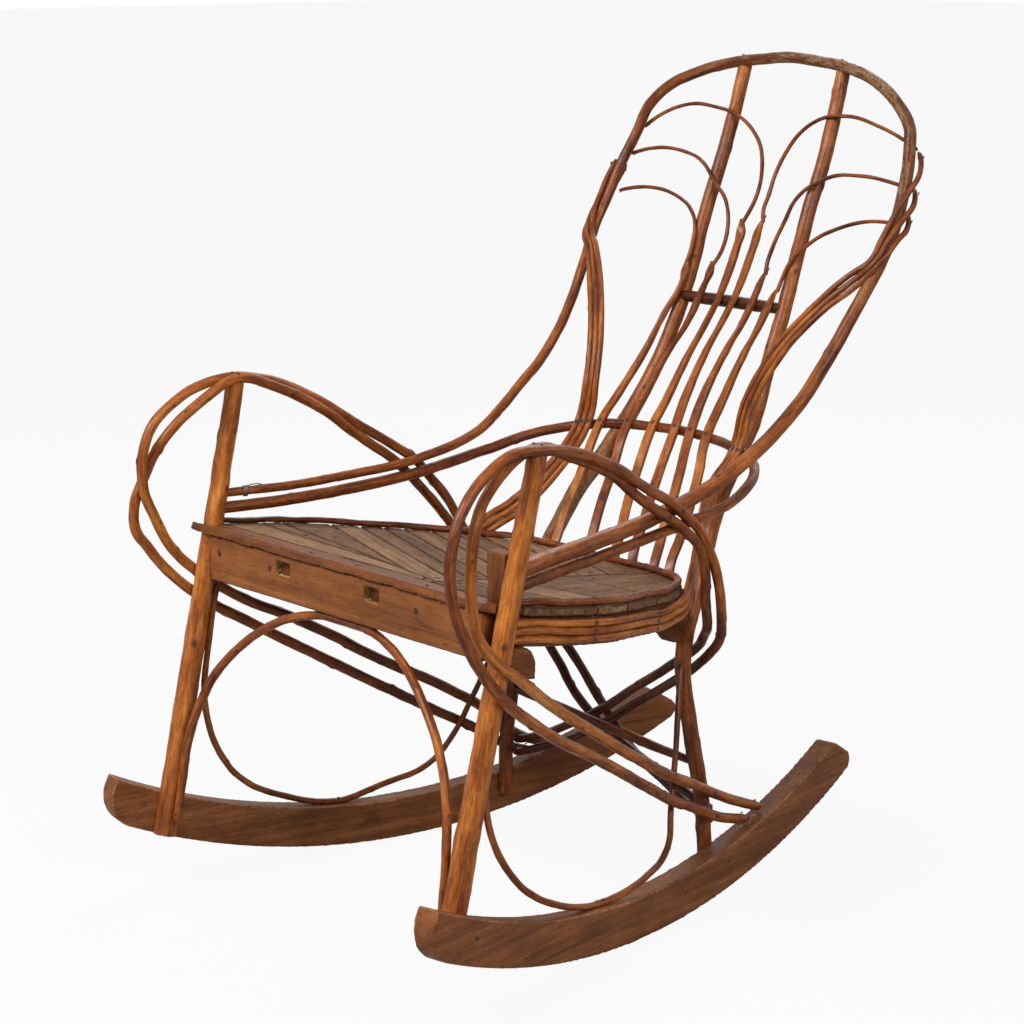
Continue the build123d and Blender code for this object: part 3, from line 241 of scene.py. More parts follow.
@dataclass(frozen=True)
class HickoryFinish:
    """Peeled and varnished hickory, with mottled skin, fibres, knots and iron stains."""

    shadow: tuple[float, float, float] = (0.030, 0.008, 0.004)
    dark: tuple[float, float, float] = (0.085, 0.020, 0.007)
    middle: tuple[float, float, float] = (0.230, 0.060, 0.012)
    warm: tuple[float, float, float] = (0.43, 0.140, 0.024)
    worn: tuple[float, float, float] = (0.62, 0.290, 0.075)
    rind: tuple[float, float, float] = (0.135, 0.078, 0.040)
    rind_light: tuple[float, float, float] = (0.30, 0.20, 0.105)
    knot: tuple[float, float, float] = (0.022, 0.010, 0.007)
    end: tuple[float, float, float] = (0.20, 0.088, 0.036)

    def material(self) -> bpy.types.Material:
        """The finish as a material that follows each stick."""
        s = Surface("peeled_hickory")
        bark = s.carried("bark", "Vector")
        tone, knot, stain, rind = (s.carried(name) for name in ("tone", "knot", "stain", "rind"))
        fibres = s.noise(bark, (1500.0, 1500.0, 45.0), 3.0, 0.6)
        streaks = s.noise(bark, (420.0, 420.0, 14.0), 4.0, 0.6)
        mottle = s.noise(bark, (230.0, 230.0, 75.0), 5.0, 0.62, 0.4)
        clouds = s.noise(bark, (75.0, 75.0, 16.0), 3.0, 0.5)
        wear = s.noise(bark, (60.0, 60.0, 9.0), 4.0, 0.6, 0.3)
        level = tone + (clouds - 0.5) * 0.75 + (streaks - 0.5) * 0.55 + (mottle - 0.5) * 0.5 + (fibres - 0.5) * 0.28
        colour = s.ramp(level, [(0.02, self.shadow), (0.26, self.dark), (0.48, self.middle), (0.70, self.warm),
                                (0.98, self.worn)])
        rubbed = s.smoothly(wear, 0.60, 0.74) * s.smoothly(tone, 0.3, 0.6) * 0.55
        colour = s.mix(rubbed, colour, self.worn)
        specks = s.smoothly(s.noise(bark, (900.0, 900.0, 330.0), 2.0, 0.5), 0.66, 0.74)
        colour = s.mix(specks * 0.75, colour, self.shadow)
        crust = s.smoothly(rind + (mottle - 0.5) * 1.5 + (clouds - 0.5) * 0.9, 0.45, 0.60)
        skin = s.mix(s.smoothly(s.noise(bark, (520.0, 520.0, 240.0), 4.0, 0.7), 0.42, 0.66), self.rind, self.rind_light)
        colour = s.mix(crust * 0.85, colour, skin)
        colour = s.mix(s.carried("end_grain") * 0.85, colour, self.end)
        colour = s.mix(s.smoothly(knot + (mottle - 0.5) * 0.7, 0.40, 1.0) * 0.8, colour, self.knot)
        colour = s.mix(s.smoothly(stain + (mottle - 0.5) * 0.45, 0.32, 0.85) * 0.85, colour, self.knot)
        rough = 0.30 + (mottle - 0.5) * 0.35 + (streaks - 0.5) * 0.2 + crust * 0.28 + knot * 0.2 + specks * 0.2
        height = fibres * 0.30 + streaks * 0.35 + mottle * 0.35 + crust * 0.5 - knot * 0.25 - specks * 0.3
        return s.close(Base_Color=colour, Roughness=rough, Normal=s.bump(height, 0.0011, 0.65), Coat_Weight=0.05,
                       Coat_Roughness=0.2, Specular_IOR_Level=0.16)


@dataclass(frozen=True)
class TimberFinish:
    """Sawn or split wood with growth lines, pores, cracks, arrises and grime; the arrises are worn pale on the rockers,
    darkened on the rails and painted dark as shade on the boards, and the whole piece is lightened or darkened by its
    own tone and by painted shade under the seat.
    """

    name: str
    deep: tuple[float, float, float]
    base: tuple[float, float, float]
    pale: tuple[float, float, float]
    edge_wear_and_shade_colour: tuple[float, float, float]
    grime: tuple[float, float, float] = (0.030, 0.014, 0.008)
    fresh: tuple[float, float, float] = (0.66, 0.40, 0.12)
    growth: float = 130.0        # growth lines per metre across the board
    contrast: float = 0.9
    pores: float = 0.7
    cracks: float = 0.0
    edge_wear_and_shade_share: float = 0.5
    roughness: float = 0.46
    relief: float = 0.0007
    coat: float = 0.03

    def material(self) -> bpy.types.Material:
        """The finish as a material that follows each board's own grain."""
        s = Surface(self.name)
        grain = s.carried("grain", "Vector")
        edge, stain, fresh, shade = (s.carried(name) for name in ("edge", "stain", "fresh", "shade"))
        bands = s.noise(grain, (3.0, self.growth, self.growth * 0.6), 4.0, 0.6, 0.6)
        lines = s.noise(grain, (14.0, self.growth * 7, self.growth * 5), 3.0, 0.6)
        clouds = s.noise(grain, (16.0, 34.0, 30.0), 4.0, 0.6, 0.5)
        dashes = s.noise(grain, (95.0, 1900.0, 1900.0), 2.0, 0.5)
        flecks = s.noise(grain, (45.0, 950.0, 400.0), 2.0, 0.5)
        # the whole piece is shifted lighter or darker: a board's own tone, and painted shade on the pieces under the
        # seat and at the back of the mortises
        level = 0.5 + shade + ((bands - 0.5) * 1.3 + (lines - 0.5) * 0.8 + (clouds - 0.5) * 0.9) * self.contrast
        colour = s.ramp(level, [(0.05, self.deep), (0.5, self.base), (0.95, self.pale)])
        holes = s.smoothly(dashes, 0.57, 0.68) * self.pores
        colour = s.mix(holes * 0.7, colour, self.grime)
        colour = s.mix(s.smoothly(flecks, 0.62, 0.72) * 0.35, colour, self.pale)
        # the arrises take another colour: pale wear on the rockers, and on the boards a dark colour that is painted
        # shade along their sides and ends
        rubbed = s.smoothly(edge + (clouds - 0.5) * 1.1 + (lines - 0.5) * 0.5, 0.52, 0.85) * self.edge_wear_and_shade_share
        colour = s.mix(rubbed, colour, self.edge_wear_and_shade_colour)
        dirt = s.smoothly(s.noise(grain, (28.0, 75.0, 75.0), 5.0, 0.65, 0.8), 0.56, 0.74)
        colour = s.mix(dirt * 0.45, colour, self.grime)
        split = s.noise(grain, (5.0, 190.0, 70.0), 2.0, 0.5, 0.25)
        crack = s.smoothly(s.math("ABSOLUTE", split - 0.5), 0.004, 0.016, 1.0, 0.0) * self.cracks
        colour = s.mix(crack * 0.9, colour, self.grime)
        raw = s.mix(s.smoothly(lines, 0.3, 0.7), self.grime, self.fresh)
        colour = s.mix(fresh * 0.8, colour, raw)
        colour = s.mix(s.smoothly(stain + (clouds - 0.5) * 0.5, 0.30, 0.85) * 0.9, colour, self.grime)
        rough = self.roughness + (clouds - 0.5) * 0.3 + holes * 0.15 + dirt * 0.12 - rubbed * 0.08
        height = bands * 0.35 + lines * 0.35 - holes * 0.5 - crack * 1.2 + clouds * 0.3
        return s.close(Base_Color=colour, Roughness=rough, Normal=s.bump(height, self.relief, 0.8),
                       Coat_Weight=self.coat, Coat_Roughness=0.3, Specular_IOR_Level=0.14)


@dataclass(frozen=True)
class MetalFinish:
    """Old iron or wire with rust."""

    name: str
    bare: tuple[float, float, float] = (0.035, 0.028, 0.025)
    rust: tuple[float, float, float] = (0.060, 0.024, 0.011)
    metallic: float = 0.55
    roughness: float = 0.5

    def material(self) -> bpy.types.Material:
        """The finish as a material on Object coordinates."""
        s = Surface(self.name)
        place = s.of("ShaderNodeTexCoord", key="Object")
        patches = s.smoothly(s.noise(place, (420.0, 420.0, 420.0), 4.0, 0.65), 0.42, 0.62)
        pits = s.noise(place, (2600.0, 2600.0, 2600.0), 3.0, 0.6)
        colour = s.mix(patches * 0.8, self.bare, self.rust)
        return s.close(Base_Color=colour, Roughness=self.roughness + patches * 0.25 + (pits - 0.5) * 0.2,
                       Metallic=self.metallic - patches * 0.5, Normal=s.bump(pits, 0.0002, 0.7))


# ---------------------------------------------------------------- paths, in millimetres

Waypoints = Sequence[tuple[float, float, float]]


def tangents(points: Sequence[Vector]) -> list[Vector]:
    """Directions at the points of a smooth path through them."""
    middle = []
    for before, here, after in zip(points, points[1:], points[2:]):
        first, second = here - before, after - here
        middle.append((first / first.length_squared + second / second.length_squared).normalized())
    ends = []
    for chord, inner in ((points[1] - points[0], middle[0]), (points[-1] - points[-2], middle[-1])):
        chord = chord.normalized()
        ends.append((chord * (2 * chord.dot(inner)) - inner).normalized())
    return [ends[0], *middle, ends[1]]


def arc(start: Vector, knee: Vector, end: Vector, step: float) -> list[Vector]:
    """Places on the arc that touches both legs of a knee, without its start."""
    bend = min(1.0, max(-1.0, (knee - start).normalized().dot((end - knee).normalized())))
    weight = cos(acos(bend) / 2)
    count = max(2, ceil((end - start).length / step))
    places = []
    for i in range(1, count + 1):
        t = i / count
        a, b, c = (1 - t) ** 2, 2 * t * (1 - t) * weight, t * t
        places.append((start * a + knee * b + end * c) / (a + b + c))
    return places


def smooth(waypoints: Sequence[Vector | tuple[float, float, float]], step: float = 3.0) -> list[Vector]:
    """A path of tangent arcs through the waypoints, two between each pair.

    Args:
        waypoints: the places that the path goes through.
        step: the longest way between two places of the result.

    Returns:
        Places along the path.
    """
    points = [Vector(p) for p in waypoints]
    if len(points) == 2:
        count = max(2, ceil((points[1] - points[0]).length / step))
        return [points[0].lerp(points[1], i / count) for i in range(count + 1)]
    heading = tangents(points)
    path = [points[0]]
    for start, end, t0, t1 in zip(points, points[1:], heading, heading[1:]):
        across, both = end - start, t0 + t1
        turn = 2 * (1 - t0.dot(t1))
        if turn < 1e-7:
            reach = across.length / 2
        else:
            b = across.dot(both)
            reach = (sqrt(b * b + turn * across.dot(across)) - b) / turn
        knee_a, knee_b = start + t0 * reach, end - t1 * reach
        middle = (knee_a + knee_b) / 2
        path += arc(start, knee_a, middle, step) + arc(middle, knee_b, end, step)
    return path


def shares(path: Sequence[Vector]) -> list[float]:
    """How far along each place of a path is, from 0 to 1."""
    run = [0.0]
    for a, b in zip(path, path[1:]):
        run.append(run[-1] + (b - a).length)
    return [r / run[-1] for r in run]


def spread(values: Sequence[float], share: float) -> float:
    """A value at a share of the way through evenly spaced ones."""
    if len(values) == 1:
        return values[0]
    place = min(share, 0.99999) * (len(values) - 1)
    i = int(place)
    return values[i] + (values[i + 1] - values[i]) * (place - i)


def run_of(path: Sequence[Vector]) -> float:
    """The length of a path."""
    return sum((b - a).length for a, b in zip(path, path[1:]))


def to_side(points: Waypoints, side: int) -> list[Vector]:
    """The right side's waypoints on the side asked for."""
    return [Vector((side * x, y, z)) for x, y, z in points]


def crossing(points: Sequence[Vector], axis: str, value: float) -> Vector:
    """The place on the way through the points where x, y or z first has the value."""
    for a, b in zip(points, points[1:]):
        low, high = getattr(a, axis), getattr(b, axis)
        if low != high and min(low, high) <= value <= max(low, high):
            return a + (b - a) * ((value - low) / (high - low))
    raise ValueError(f"no {axis} = {value}")


# ---------------------------------------------------------------- the frame's own sizes

@dataclass(frozen=True)
class Frame:
    """The sizes that every sub-assembly shares, in millimetres, and the places that follow from them."""

    toe_in: float = 10.0
    rocker_radius: float = 1000.0
    rocker_depth: float = 54.0
    rocker_thickness: float = 30.0
    rocker_mid: float = 239.0
    post_foot: tuple[float, float] = (-358.0, 70.0)
    post_head_y: float = -227.0
    post_head_x: float = 285.0
    post_head_z: tuple[float, float] = (639.0, 630.0)      # left, right
    post_foot_diameter: float = 28.0
    post_top_diameter: float = 23.0
    post_foot_lap: float = 5.0
    leg_foot: tuple[float, float] = (146.0, 38.0)
    leg_foot_lap: float = 3.0
    upright_diameter: float = 20.0
    seat_top_at_centre: float = 422.0
    seat_fall: float = 0.15
    lap: float = 1.2
    upright: Waypoints = ((166, 139, 225), (157, 137, 275), (151, 145, 320), (145, 165, 365), (136, 193, 420),
                          (128, 215, 459), (115, 258, 512), (106, 311, 580), (97, 345, 640), (92, 381, 719),
                          (91, 421, 830), (90, 458, 921), (88, 488, 1018))

    def rocker_mid_x(self, y: float) -> float:
        """Distance from the middle to a rocker's mid plane."""
        return self.rocker_mid - tan(radians(self.toe_in)) * y

    def rocker_inner_x(self, y: float) -> float:
        """Distance from the middle to a rocker's inner face."""
        return self.rocker_mid_x(y) - self.rocker_thickness / 2 / cos(radians(self.toe_in))

    def rocker_top_z(self, y: float) -> float:
        """Height of a rocker's top edge."""
        along = y / cos(radians(self.toe_in))
        return self.rocker_radius - sqrt((self.rocker_radius - self.rocker_depth) ** 2 - along**2)

    def post_ends(self, side: int) -> tuple[Vector, Vector]:
        """Foot and head of a front post."""
        foot_x = self.rocker_inner_x(self.post_foot[0]) - self.post_foot_diameter / 2 + self.post_foot_lap
        head = Vector((side * self.post_head_x, self.post_head_y, self.post_head_z[side == RIGHT]))
        return Vector((side * foot_x, *self.post_foot)), head

    def post_axis(self, side: int, height: float) -> Vector:
        """A front post's middle at a height."""
        foot, head = self.post_ends(side)
        return foot + (head - foot) * ((height - foot.z) / (head.z - foot.z))

    def post_radius(self, height: float) -> float:
        """A front post's half girth at a height."""
        share = (height - self.post_foot[1]) / (self.post_head_z[1] - self.post_foot[1])
        return (self.post_foot_diameter + (self.post_top_diameter - self.post_foot_diameter) * share) / 2

    def leg(self, side: int) -> list[Vector]:
        """Foot to top of a back leg and upright."""
        y, z = self.leg_foot
        foot_x = self.rocker_inner_x(y) - self.upright_diameter / 2 + self.leg_foot_lap
        low = [Vector((side * foot_x, y, z)), Vector((side * (foot_x - 3), y - 2, 110))]
        return low + to_side(self.upright, side)

    def seat_top(self, y: float) -> float:
        """Height of the boards' upper face."""
        return self.seat_top_at_centre - self.seat_fall * y

    def on_seat(self, x: float, y: float, above: float) -> Vector:
        """A point over the seat's upper face."""
        return Vector((x, y, self.seat_top(y))) + self.seat_up() * above

    def seat_up(self) -> Vector:
        """The direction square to the seat."""
        return Vector((0, self.seat_fall, 1)).normalized()


FRAME = Frame()


# ---------------------------------------------------------------- making pieces

def placed(name: str, data: bpy.types.ID) -> bpy.types.Object:
    """A new object of the scene."""
    made = bpy.data.objects.new(name, data)
    bpy.context.scene.collection.objects.link(made)
    return made


def finder(places: Sequence[Vector]) -> KDTree:
    """A tree that finds the nearest of the places."""
    tree = KDTree(len(places))
    for i, place in enumerate(places):
        tree.insert(place, i)
    tree.balance()
    return tree


def coordinates(piece: bpy.types.Object) -> np.ndarray:
    """The places of a piece's points, a row for each."""
    places = np.zeros(len(piece.data.vertices) * 3, np.float32)
    piece.data.vertices.foreach_get("co", places)
    return places.reshape(-1, 3)


class NailField:
    """Where every nail head is, so that the wood round it is stained."""

    reach = 7.0 * MM

    def __init__(self, nodes: Sequence[str]) -> None:
        """Read each nail's head and direction from the frame's solids."""
        self.nails = {node: self.read(node) for node in nodes}
        heads = [head for nails in self.nails.values() for head, _ in nails]
        self.tree = finder(heads)

    @staticmethod
    def read(node: str) -> list[tuple[Vector, Vector]]:
        """Head and outward direction of each nail in a node."""
        mesh = bmesh.new()
        mesh.from_mesh(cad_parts[node].data)
        bmesh.ops.remove_doubles(mesh, verts=mesh.verts, dist=0.01 * MM)
        found, seen = [], set()
        for start in mesh.verts:
            if start.index in seen:
                continue
            island, todo = [], [start]
            seen.add(start.index)
            while todo:
                here = todo.pop()
                island.append(here.co.copy())
                for edge in here.link_edges:
                    there = edge.other_vert(here)
                    if there.index not in seen:
                        seen.add(there.index)
                        todo.append(there)
            cloud = np.array(island)
            middle = (cloud.max(0) + cloud.min(0)) / 2
            axis = np.linalg.svd(cloud - cloud.mean(0), full_matrices=False)[2][0]
            run = (cloud - middle) @ axis
            radial = np.linalg.norm((cloud - middle) - np.outer(run, axis), axis=1)
            if radial[run > 0].max() < radial[run < 0].max():
                axis, run = -axis, -run
            centre = cloud[run > run.max() - 0.3 * MM].mean(0)
            found.append((Vector(centre), Vector(axis)))
        mesh.free()
        return found

    def stain(self, places: np.ndarray) -> np.ndarray:
        """From 0 to 1, how near each place is to a nail."""
        near = np.array([self.tree.find(p)[2] for p in places])
        return np.exp(-((near / self.reach) ** 2) * 2.2)


class Workshop:
    """Keeps the finishes, the growth trees and the nails, and turns work into pieces of the model."""

    def __init__(self) -> None:
        """Mix the finishes and build the trees."""
        self.nails = NailField(("rocker_nails", "frame_nails", "seat_nails"))
        self.finish = {
            Slot.STICK: HickoryFinish().material(),
            Slot.ROCKER: TimberFinish("sawn_oak", (0.070, 0.020, 0.007), (0.180, 0.058, 0.018), (0.31, 0.120, 0.040),
                                      (0.47, 0.25, 0.14), growth=95.0, edge_wear_and_shade_share=0.6).material(),
            Slot.RAIL: TimberFinish("sawn_rail_wood", (0.075, 0.022, 0.007), (0.205, 0.066, 0.018),
                                    (0.34, 0.125, 0.032), (0.09, 0.034, 0.016), growth=80.0, contrast=0.75,
                                    edge_wear_and_shade_share=0.8).material(),
            Slot.BOARD: TimberFinish("weathered_split_board", (0.065, 0.027, 0.011), (0.185, 0.088, 0.040),
                                     (0.36, 0.205, 0.105), (0.040, 0.017, 0.008), growth=150.0, contrast=1.05,
                                     cracks=0.8, edge_wear_and_shade_share=0.85, roughness=0.62, coat=0.0).material(),
            Slot.IRON: MetalFinish("old_iron").material(),
            Slot.WIRE: MetalFinish("old_wire", (0.20, 0.18, 0.16), (0.10, 0.055, 0.03), 0.8, 0.45).material(),
        }
        self.trees = {profile: self.growth_tree(profile) for profile in Profile}
        self.wear = self.wear_tree()
        self.heads = self.nail_tree()

    @staticmethod
    def tree_with(name: str, floats: dict[str, float]) -> tuple[Graph, bpy.types.Node]:
        """A geometry tree with named number inputs and a finish.

        Args:
            name: the tree's name.
            floats: its number inputs and their usual values.

        Returns:
            The tree as a Graph, and its group input node.
        """
        tree = bpy.data.node_groups.new(name, "GeometryNodeTree")
        tree.interface.new_socket("Geometry", in_out="INPUT", socket_type="NodeSocketGeometry")
        for key, value in floats.items():
            socket = tree.interface.new_socket(key, in_out="INPUT", socket_type="NodeSocketFloat")
            socket.default_value = value
        tree.interface.new_socket("Finish", in_out="INPUT", socket_type="NodeSocketMaterial")
        tree.interface.new_socket("Geometry", in_out="OUTPUT", socket_type="NodeSocketGeometry")
        graph = Graph(tree)
        return graph, graph.node("NodeGroupInput")

    @staticmethod
    def end_tree(g: Graph, entry: bpy.types.Node, geometry: Value) -> bpy.types.GeometryNodeTree:
        """Close a tree with Realize Instances and Set Material."""
        whole = g.of("GeometryNodeRealizeInstances", {"Geometry": geometry})
        dressed = g.of("GeometryNodeSetMaterial", {"Geometry": whole, "Material": g.get(entry, "Finish")})
        g.node("NodeGroupOutput", None, {"Geometry": dressed})
        return g.tree

    def growth_tree(self, profile: Profile) -> bpy.types.GeometryNodeTree:
        """The tree that grows a stick with its lumps and knots along a route.

        Args:
            profile: whether the stick is round or split flat.

        Returns:
            The tree. The route is a chain of edges that carries girth, tone and rind.
        """
        g, entry = self.tree_with(f"{profile.value}_stick", {"Spacing": 0.003, "Sides": 14.0, "Depth": 1.0,
                                                             "Lump": 0.0003, "Knot Height": 0.0008,
                                                             "Knot Spacing": 0.3, "Wander": 0.0005, "Seed": 0.0})

        seed = g.get(entry, "Seed")
        curve = g.of("GeometryNodeMeshToCurve", {"Mesh": g.get(entry, "Geometry")})
        curve = g.of("GeometryNodeResampleCurve", {"Curve": curve, "Length": g.get(entry, "Spacing")},
                     {"mode": "LENGTH"})
        if profile is Profile.FLAT:
            curve = g.of("GeometryNodeSetCurveNormal", {"Curve": curve}, {"mode": "Z_UP"})
        parameter = g.node("GeometryNodeSplineParameter")
        factor, length = g.get(parameter, "Factor"), g.get(parameter, "Length")
        free = g.smoothly(factor * (1.0 - factor), 0.0, 0.04)
        shift = g.vmath("ADD", g.of("GeometryNodeInputPosition"), g.combine(seed, seed, seed))
        sway = g.centred(g.noise(shift, (17.0, 17.0, 17.0), 2.0, 0.5, output="Color"))
        curve = g.moved(curve, g.vmath("SCALE", sway, Scale=g.get(entry, "Wander") * free * 4.0))
        curve = g.store(curve, "along", length)
        curve = g.store(curve, "heading", g.of("GeometryNodeInputTangent"), "FLOAT_VECTOR")

        ring = g.of("GeometryNodeCurvePrimitiveCircle", {"Resolution": g.get(entry, "Sides"), "Radius": 1.0})
        place = g.of("GeometryNodeInputPosition")
        ring = g.store(ring, "ring", place, "FLOAT_VECTOR")
        if profile is Profile.FLAT:
            x, y, _ = g.split(place)
            squared = [g.math("SIGN", part) * g.math("POWER", g.math("ABSOLUTE", part), 0.3) for part in (x, y)]
            target = g.combine(squared[0], squared[1] * g.get(entry, "Depth"), 0.0)
            ring = g.of("GeometryNodeSetPosition", {"Geometry": ring, "Position": target})
        girth, along, around = g.named("girth"), g.named("along"), g.named("ring", "FLOAT_VECTOR")
        body = g.of("GeometryNodeCurveToMesh",
                    {"Curve": curve, "Profile Curve": ring, "Scale": girth, "Fill Caps": True})

        rx, ry, _ = g.split(around)
        bark = g.combine(rx * girth, ry * girth, along + seed)
        body = g.store(body, "bark", bark, "FLOAT_VECTOR")
        spacing = g.get(entry, "Knot Spacing")
        cells = g.combine(rx * 0.4, ry * 0.4, (along + seed) / spacing)
        found = g.of("ShaderNodeTexVoronoi", {"Vector": cells, "Scale": 1.0, "Randomness": 1.0},
                     {"voronoi_dimensions": "3D", "feature": "F1"}, "Position")
        kx, ky, kz = g.split(found)
        outward = g.vmath("NORMALIZE", g.combine(kx, ky, 0.0))
        facing = g.vmath("DOT_PRODUCT", outward, around, output="Value")
        round_way = g.math("ARCCOSINE", g.math("MINIMUM", facing, 0.9999)) * girth
        long_way = ((along + seed) / spacing - kz) * spacing * 0.75
        uneven = g.noise(bark, (260.0, 260.0, 150.0), 3.0, 0.6) * 0.9 + 0.55
        away = g.math("SQRT", round_way * round_way + long_way * long_way) * uneven
        knot = g.smoothly(away / (girth + 0.002), 0.05, 0.62, 1.0, 0.0)
        body = g.store(body, "knot", knot)
        lump = g.noise(bark, (75.0, 75.0, 42.0), 3.0, 0.5) - 0.5
        rise = lump * g.get(entry, "Lump") * 3.0 + knot * g.get(entry, "Knot Height")
        normal = g.of("GeometryNodeInputNormal")
        body = g.moved(body, g.vmath("SCALE", normal, Scale=rise))
        turned = g.math("ABSOLUTE", g.vmath("DOT_PRODUCT", normal, g.named("heading", "FLOAT_VECTOR"),
                                            output="Value"))
        body = g.store(body, "end_grain", g.math("GREATER_THAN", turned, 0.8), domain="FACE")
        return self.end_tree(g, entry, g.shaded(body))

    def wear_tree(self) -> bpy.types.GeometryNodeTree:
        """The tree that wears a board: ridged grain, dents and rounded, nibbled arrises."""
        g, entry = self.tree_with("worn_board", {"Ridge": 0.0003, "Nibble": 0.0012, "Warp": 0.0005})
        grain, edge = g.named("grain", "FLOAT_VECTOR"), g.named("edge")
        ridges = g.noise(grain, (7.0, 210.0, 120.0), 2.0, 0.5) - 0.5
        bites = g.smoothly(g.noise(grain, (55.0, 90.0, 90.0), 3.0, 0.6), 0.45, 0.75)
        slow = g.noise(grain, (11.0, 19.0, 19.0), 1.0, 0.5) - 0.5
        rise = ridges * g.get(entry, "Ridge") - edge * bites * g.get(entry, "Nibble") + slow * g.get(entry, "Warp")
        offset = g.vmath("SCALE", g.of("GeometryNodeInputNormal"), Scale=rise)
        return self.end_tree(g, entry, g.shaded(g.moved(g.get(entry, "Geometry"), offset)))

    def nail_tree(self) -> bpy.types.GeometryNodeTree:
        """The tree that sets a hammered head on every nail's place."""
        g, entry = self.tree_with("nail_heads", {"Radius": 0.0021, "Height": 0.34})
        ball = g.of("GeometryNodeMeshUVSphere", {"Segments": 10, "Rings": 6, "Radius": g.get(entry, "Radius")})
        turn = g.of("FunctionNodeAlignRotationToVector", {"Vector": g.named("axis", "FLOAT_VECTOR")}, {"axis": "Z"})
        size = g.of("FunctionNodeRandomValue", {"Min": 0.82, "Max": 1.08, "Seed": 5}, {"data_type": "FLOAT"},
                    "Value")
        scale = g.combine(size, size, g.get(entry, "Height"))
        heads = g.of("GeometryNodeInstanceOnPoints", {"Points": g.get(entry, "Geometry"), "Instance": ball,
                                                      "Rotation": turn, "Scale": scale})
        heads = g.of("GeometryNodeRealizeInstances", {"Geometry": heads})
        place = g.of("GeometryNodeInputPosition")
        dents = g.centred(g.noise(place, (420.0, 420.0, 420.0), 2.0, 0.5, output="Color"))
        heads = g.moved(heads, g.vmath("SCALE", dents, Scale=0.0009))
        return self.end_tree(g, entry, g.shaded(heads))

    @staticmethod
    def drive(piece: bpy.types.Object, tree: bpy.types.GeometryNodeTree, finish: bpy.types.Material,
              **inputs: float) -> bpy.types.Object:
        """Run a tree on a piece and keep the result as its plain mesh.

        Args:
            piece: the object whose mesh the tree starts from.
            tree: the tree to run.
            finish: the material it sets.
            inputs: values for its named inputs; an underscore stands for a space.

        Returns:
            The same object with its new mesh.
        """
        modifier = piece.modifiers.new("make", "NODES")
        modifier.node_group = tree
        sockets = {item.name: item.identifier for item in tree.interface.items_tree if item.in_out == "INPUT"}
        for key, value in inputs.items():
            modifier[sockets[key.replace("_", " ")]] = value
        modifier[sockets["Finish"]] = finish
        graph = bpy.context.evaluated_depsgraph_get()
        made = bpy.data.meshes.new_from_object(piece.evaluated_get(graph), preserve_all_data_layers=True,
                                               depsgraph=graph)
        piece.modifiers.clear()
        piece.data = made
        return piece

    def hand_over(self, piece: bpy.types.Object, nodes: Sequence[str]) -> bpy.types.Object:
        """Make a piece part of the model in place of the frame's nodes."""
        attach(piece, BODY)
        if nodes:
            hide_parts(*nodes)
        log.info("%s: %d faces", piece.name, len(piece.data.polygons))
        return piece

    def carry(self, piece: bpy.types.Object, name: str, values: np.ndarray) -> None:
        """Give a piece an attribute of numbers or vectors on its points."""
        kind = "FLOAT_VECTOR" if values.ndim == 2 else "FLOAT"
        layer = piece.data.attributes.new(name, kind, "POINT")
        layer.data.foreach_set("vector" if values.ndim == 2 else "value", values.astype(np.float32).ravel())

    def set_nails(self) -> None:
        """Heads for every group of nails."""
        for node, nails in self.nails.nails.items():
            mesh = bpy.data.meshes.new(node)
            mesh.from_pydata([head - axis * 0.55 * MM for head, axis in nails], [], [])
            piece = placed(f"{node}_heads", mesh)
            self.carry(piece, "axis", np.array([axis for _, axis in nails]))
            self.drive(piece, self.heads, self.finish[Slot.IRON])
            self.hand_over(piece, [node])


@dataclass
class Stick:
    """One stick, bent or straight; sizes in millimetres."""

    name: str
    route: Sequence[Vector | tuple[float, float, float]]
    diameters: Sequence[float]
    nodes: Sequence[str] = ()
    tones: Sequence[float] = (0.5,)
    rinds: Sequence[float] = (0.0,)
    tips: tuple[float, float] = (0.0, 0.0)      # length whittled thin at the start and at the end
    lump: float = 0.35
    knots: float = 0.9
    knot_spacing: float = 260.0
    wander: float = 0.5
    sides: int = 14
    spacing: float = 3.0
    profile: Profile = Profile.ROUND
    depth: float = 1.0
    slot: Slot = Slot.STICK
    path: list[Vector] = field(init=False)

    def __post_init__(self) -> None:
        """Work out the smooth path."""
        self.path = smooth(self.route)

    def girth(self, share: float, run: float) -> float:
        """Half the thickness at a share of a run in millimetres."""
        half = spread(self.diameters, share) / 2
        for length, away in zip(self.tips, (share * run, (1 - share) * run)):
            if length and away < length:
                half *= 0.45 + 0.55 * sqrt(away / length)
        return half

    def build(self, shop: Workshop) -> bpy.types.Object:
        """Grow the stick along its path and hand it over.

        Args:
            shop: the workshop that keeps the trees and finishes.

        Returns:
            The finished piece.
        """
        mesh = bpy.data.meshes.new(self.name)
        mesh.from_pydata([p * MM for p in self.path], [(i, i + 1) for i in range(len(self.path) - 1)], [])
        piece = placed(self.name, mesh)
        run = run_of(self.path)
        places = shares(self.path)
        shop.carry(piece, "girth", np.array([self.girth(s, run) * MM for s in places]))
        shop.carry(piece, "tone", np.array([spread(self.tones, s) for s in places]))
        shop.carry(piece, "rind", np.array([spread(self.rinds, s) for s in places]))
        seed = random.Random(self.name).uniform(0.0, 9.0)
        shop.drive(piece, shop.trees[self.profile], shop.finish[self.slot], Spacing=self.spacing * MM,
                   Sides=float(self.sides), Depth=self.depth, Lump=self.lump * MM, Knot_Height=self.knots * MM,
                   Knot_Spacing=self.knot_spacing * MM, Wander=self.wander * MM, Seed=seed)
        shop.carry(piece, "stain", shop.nails.stain(coordinates(piece)))
        return shop.hand_over(piece, self.nodes)


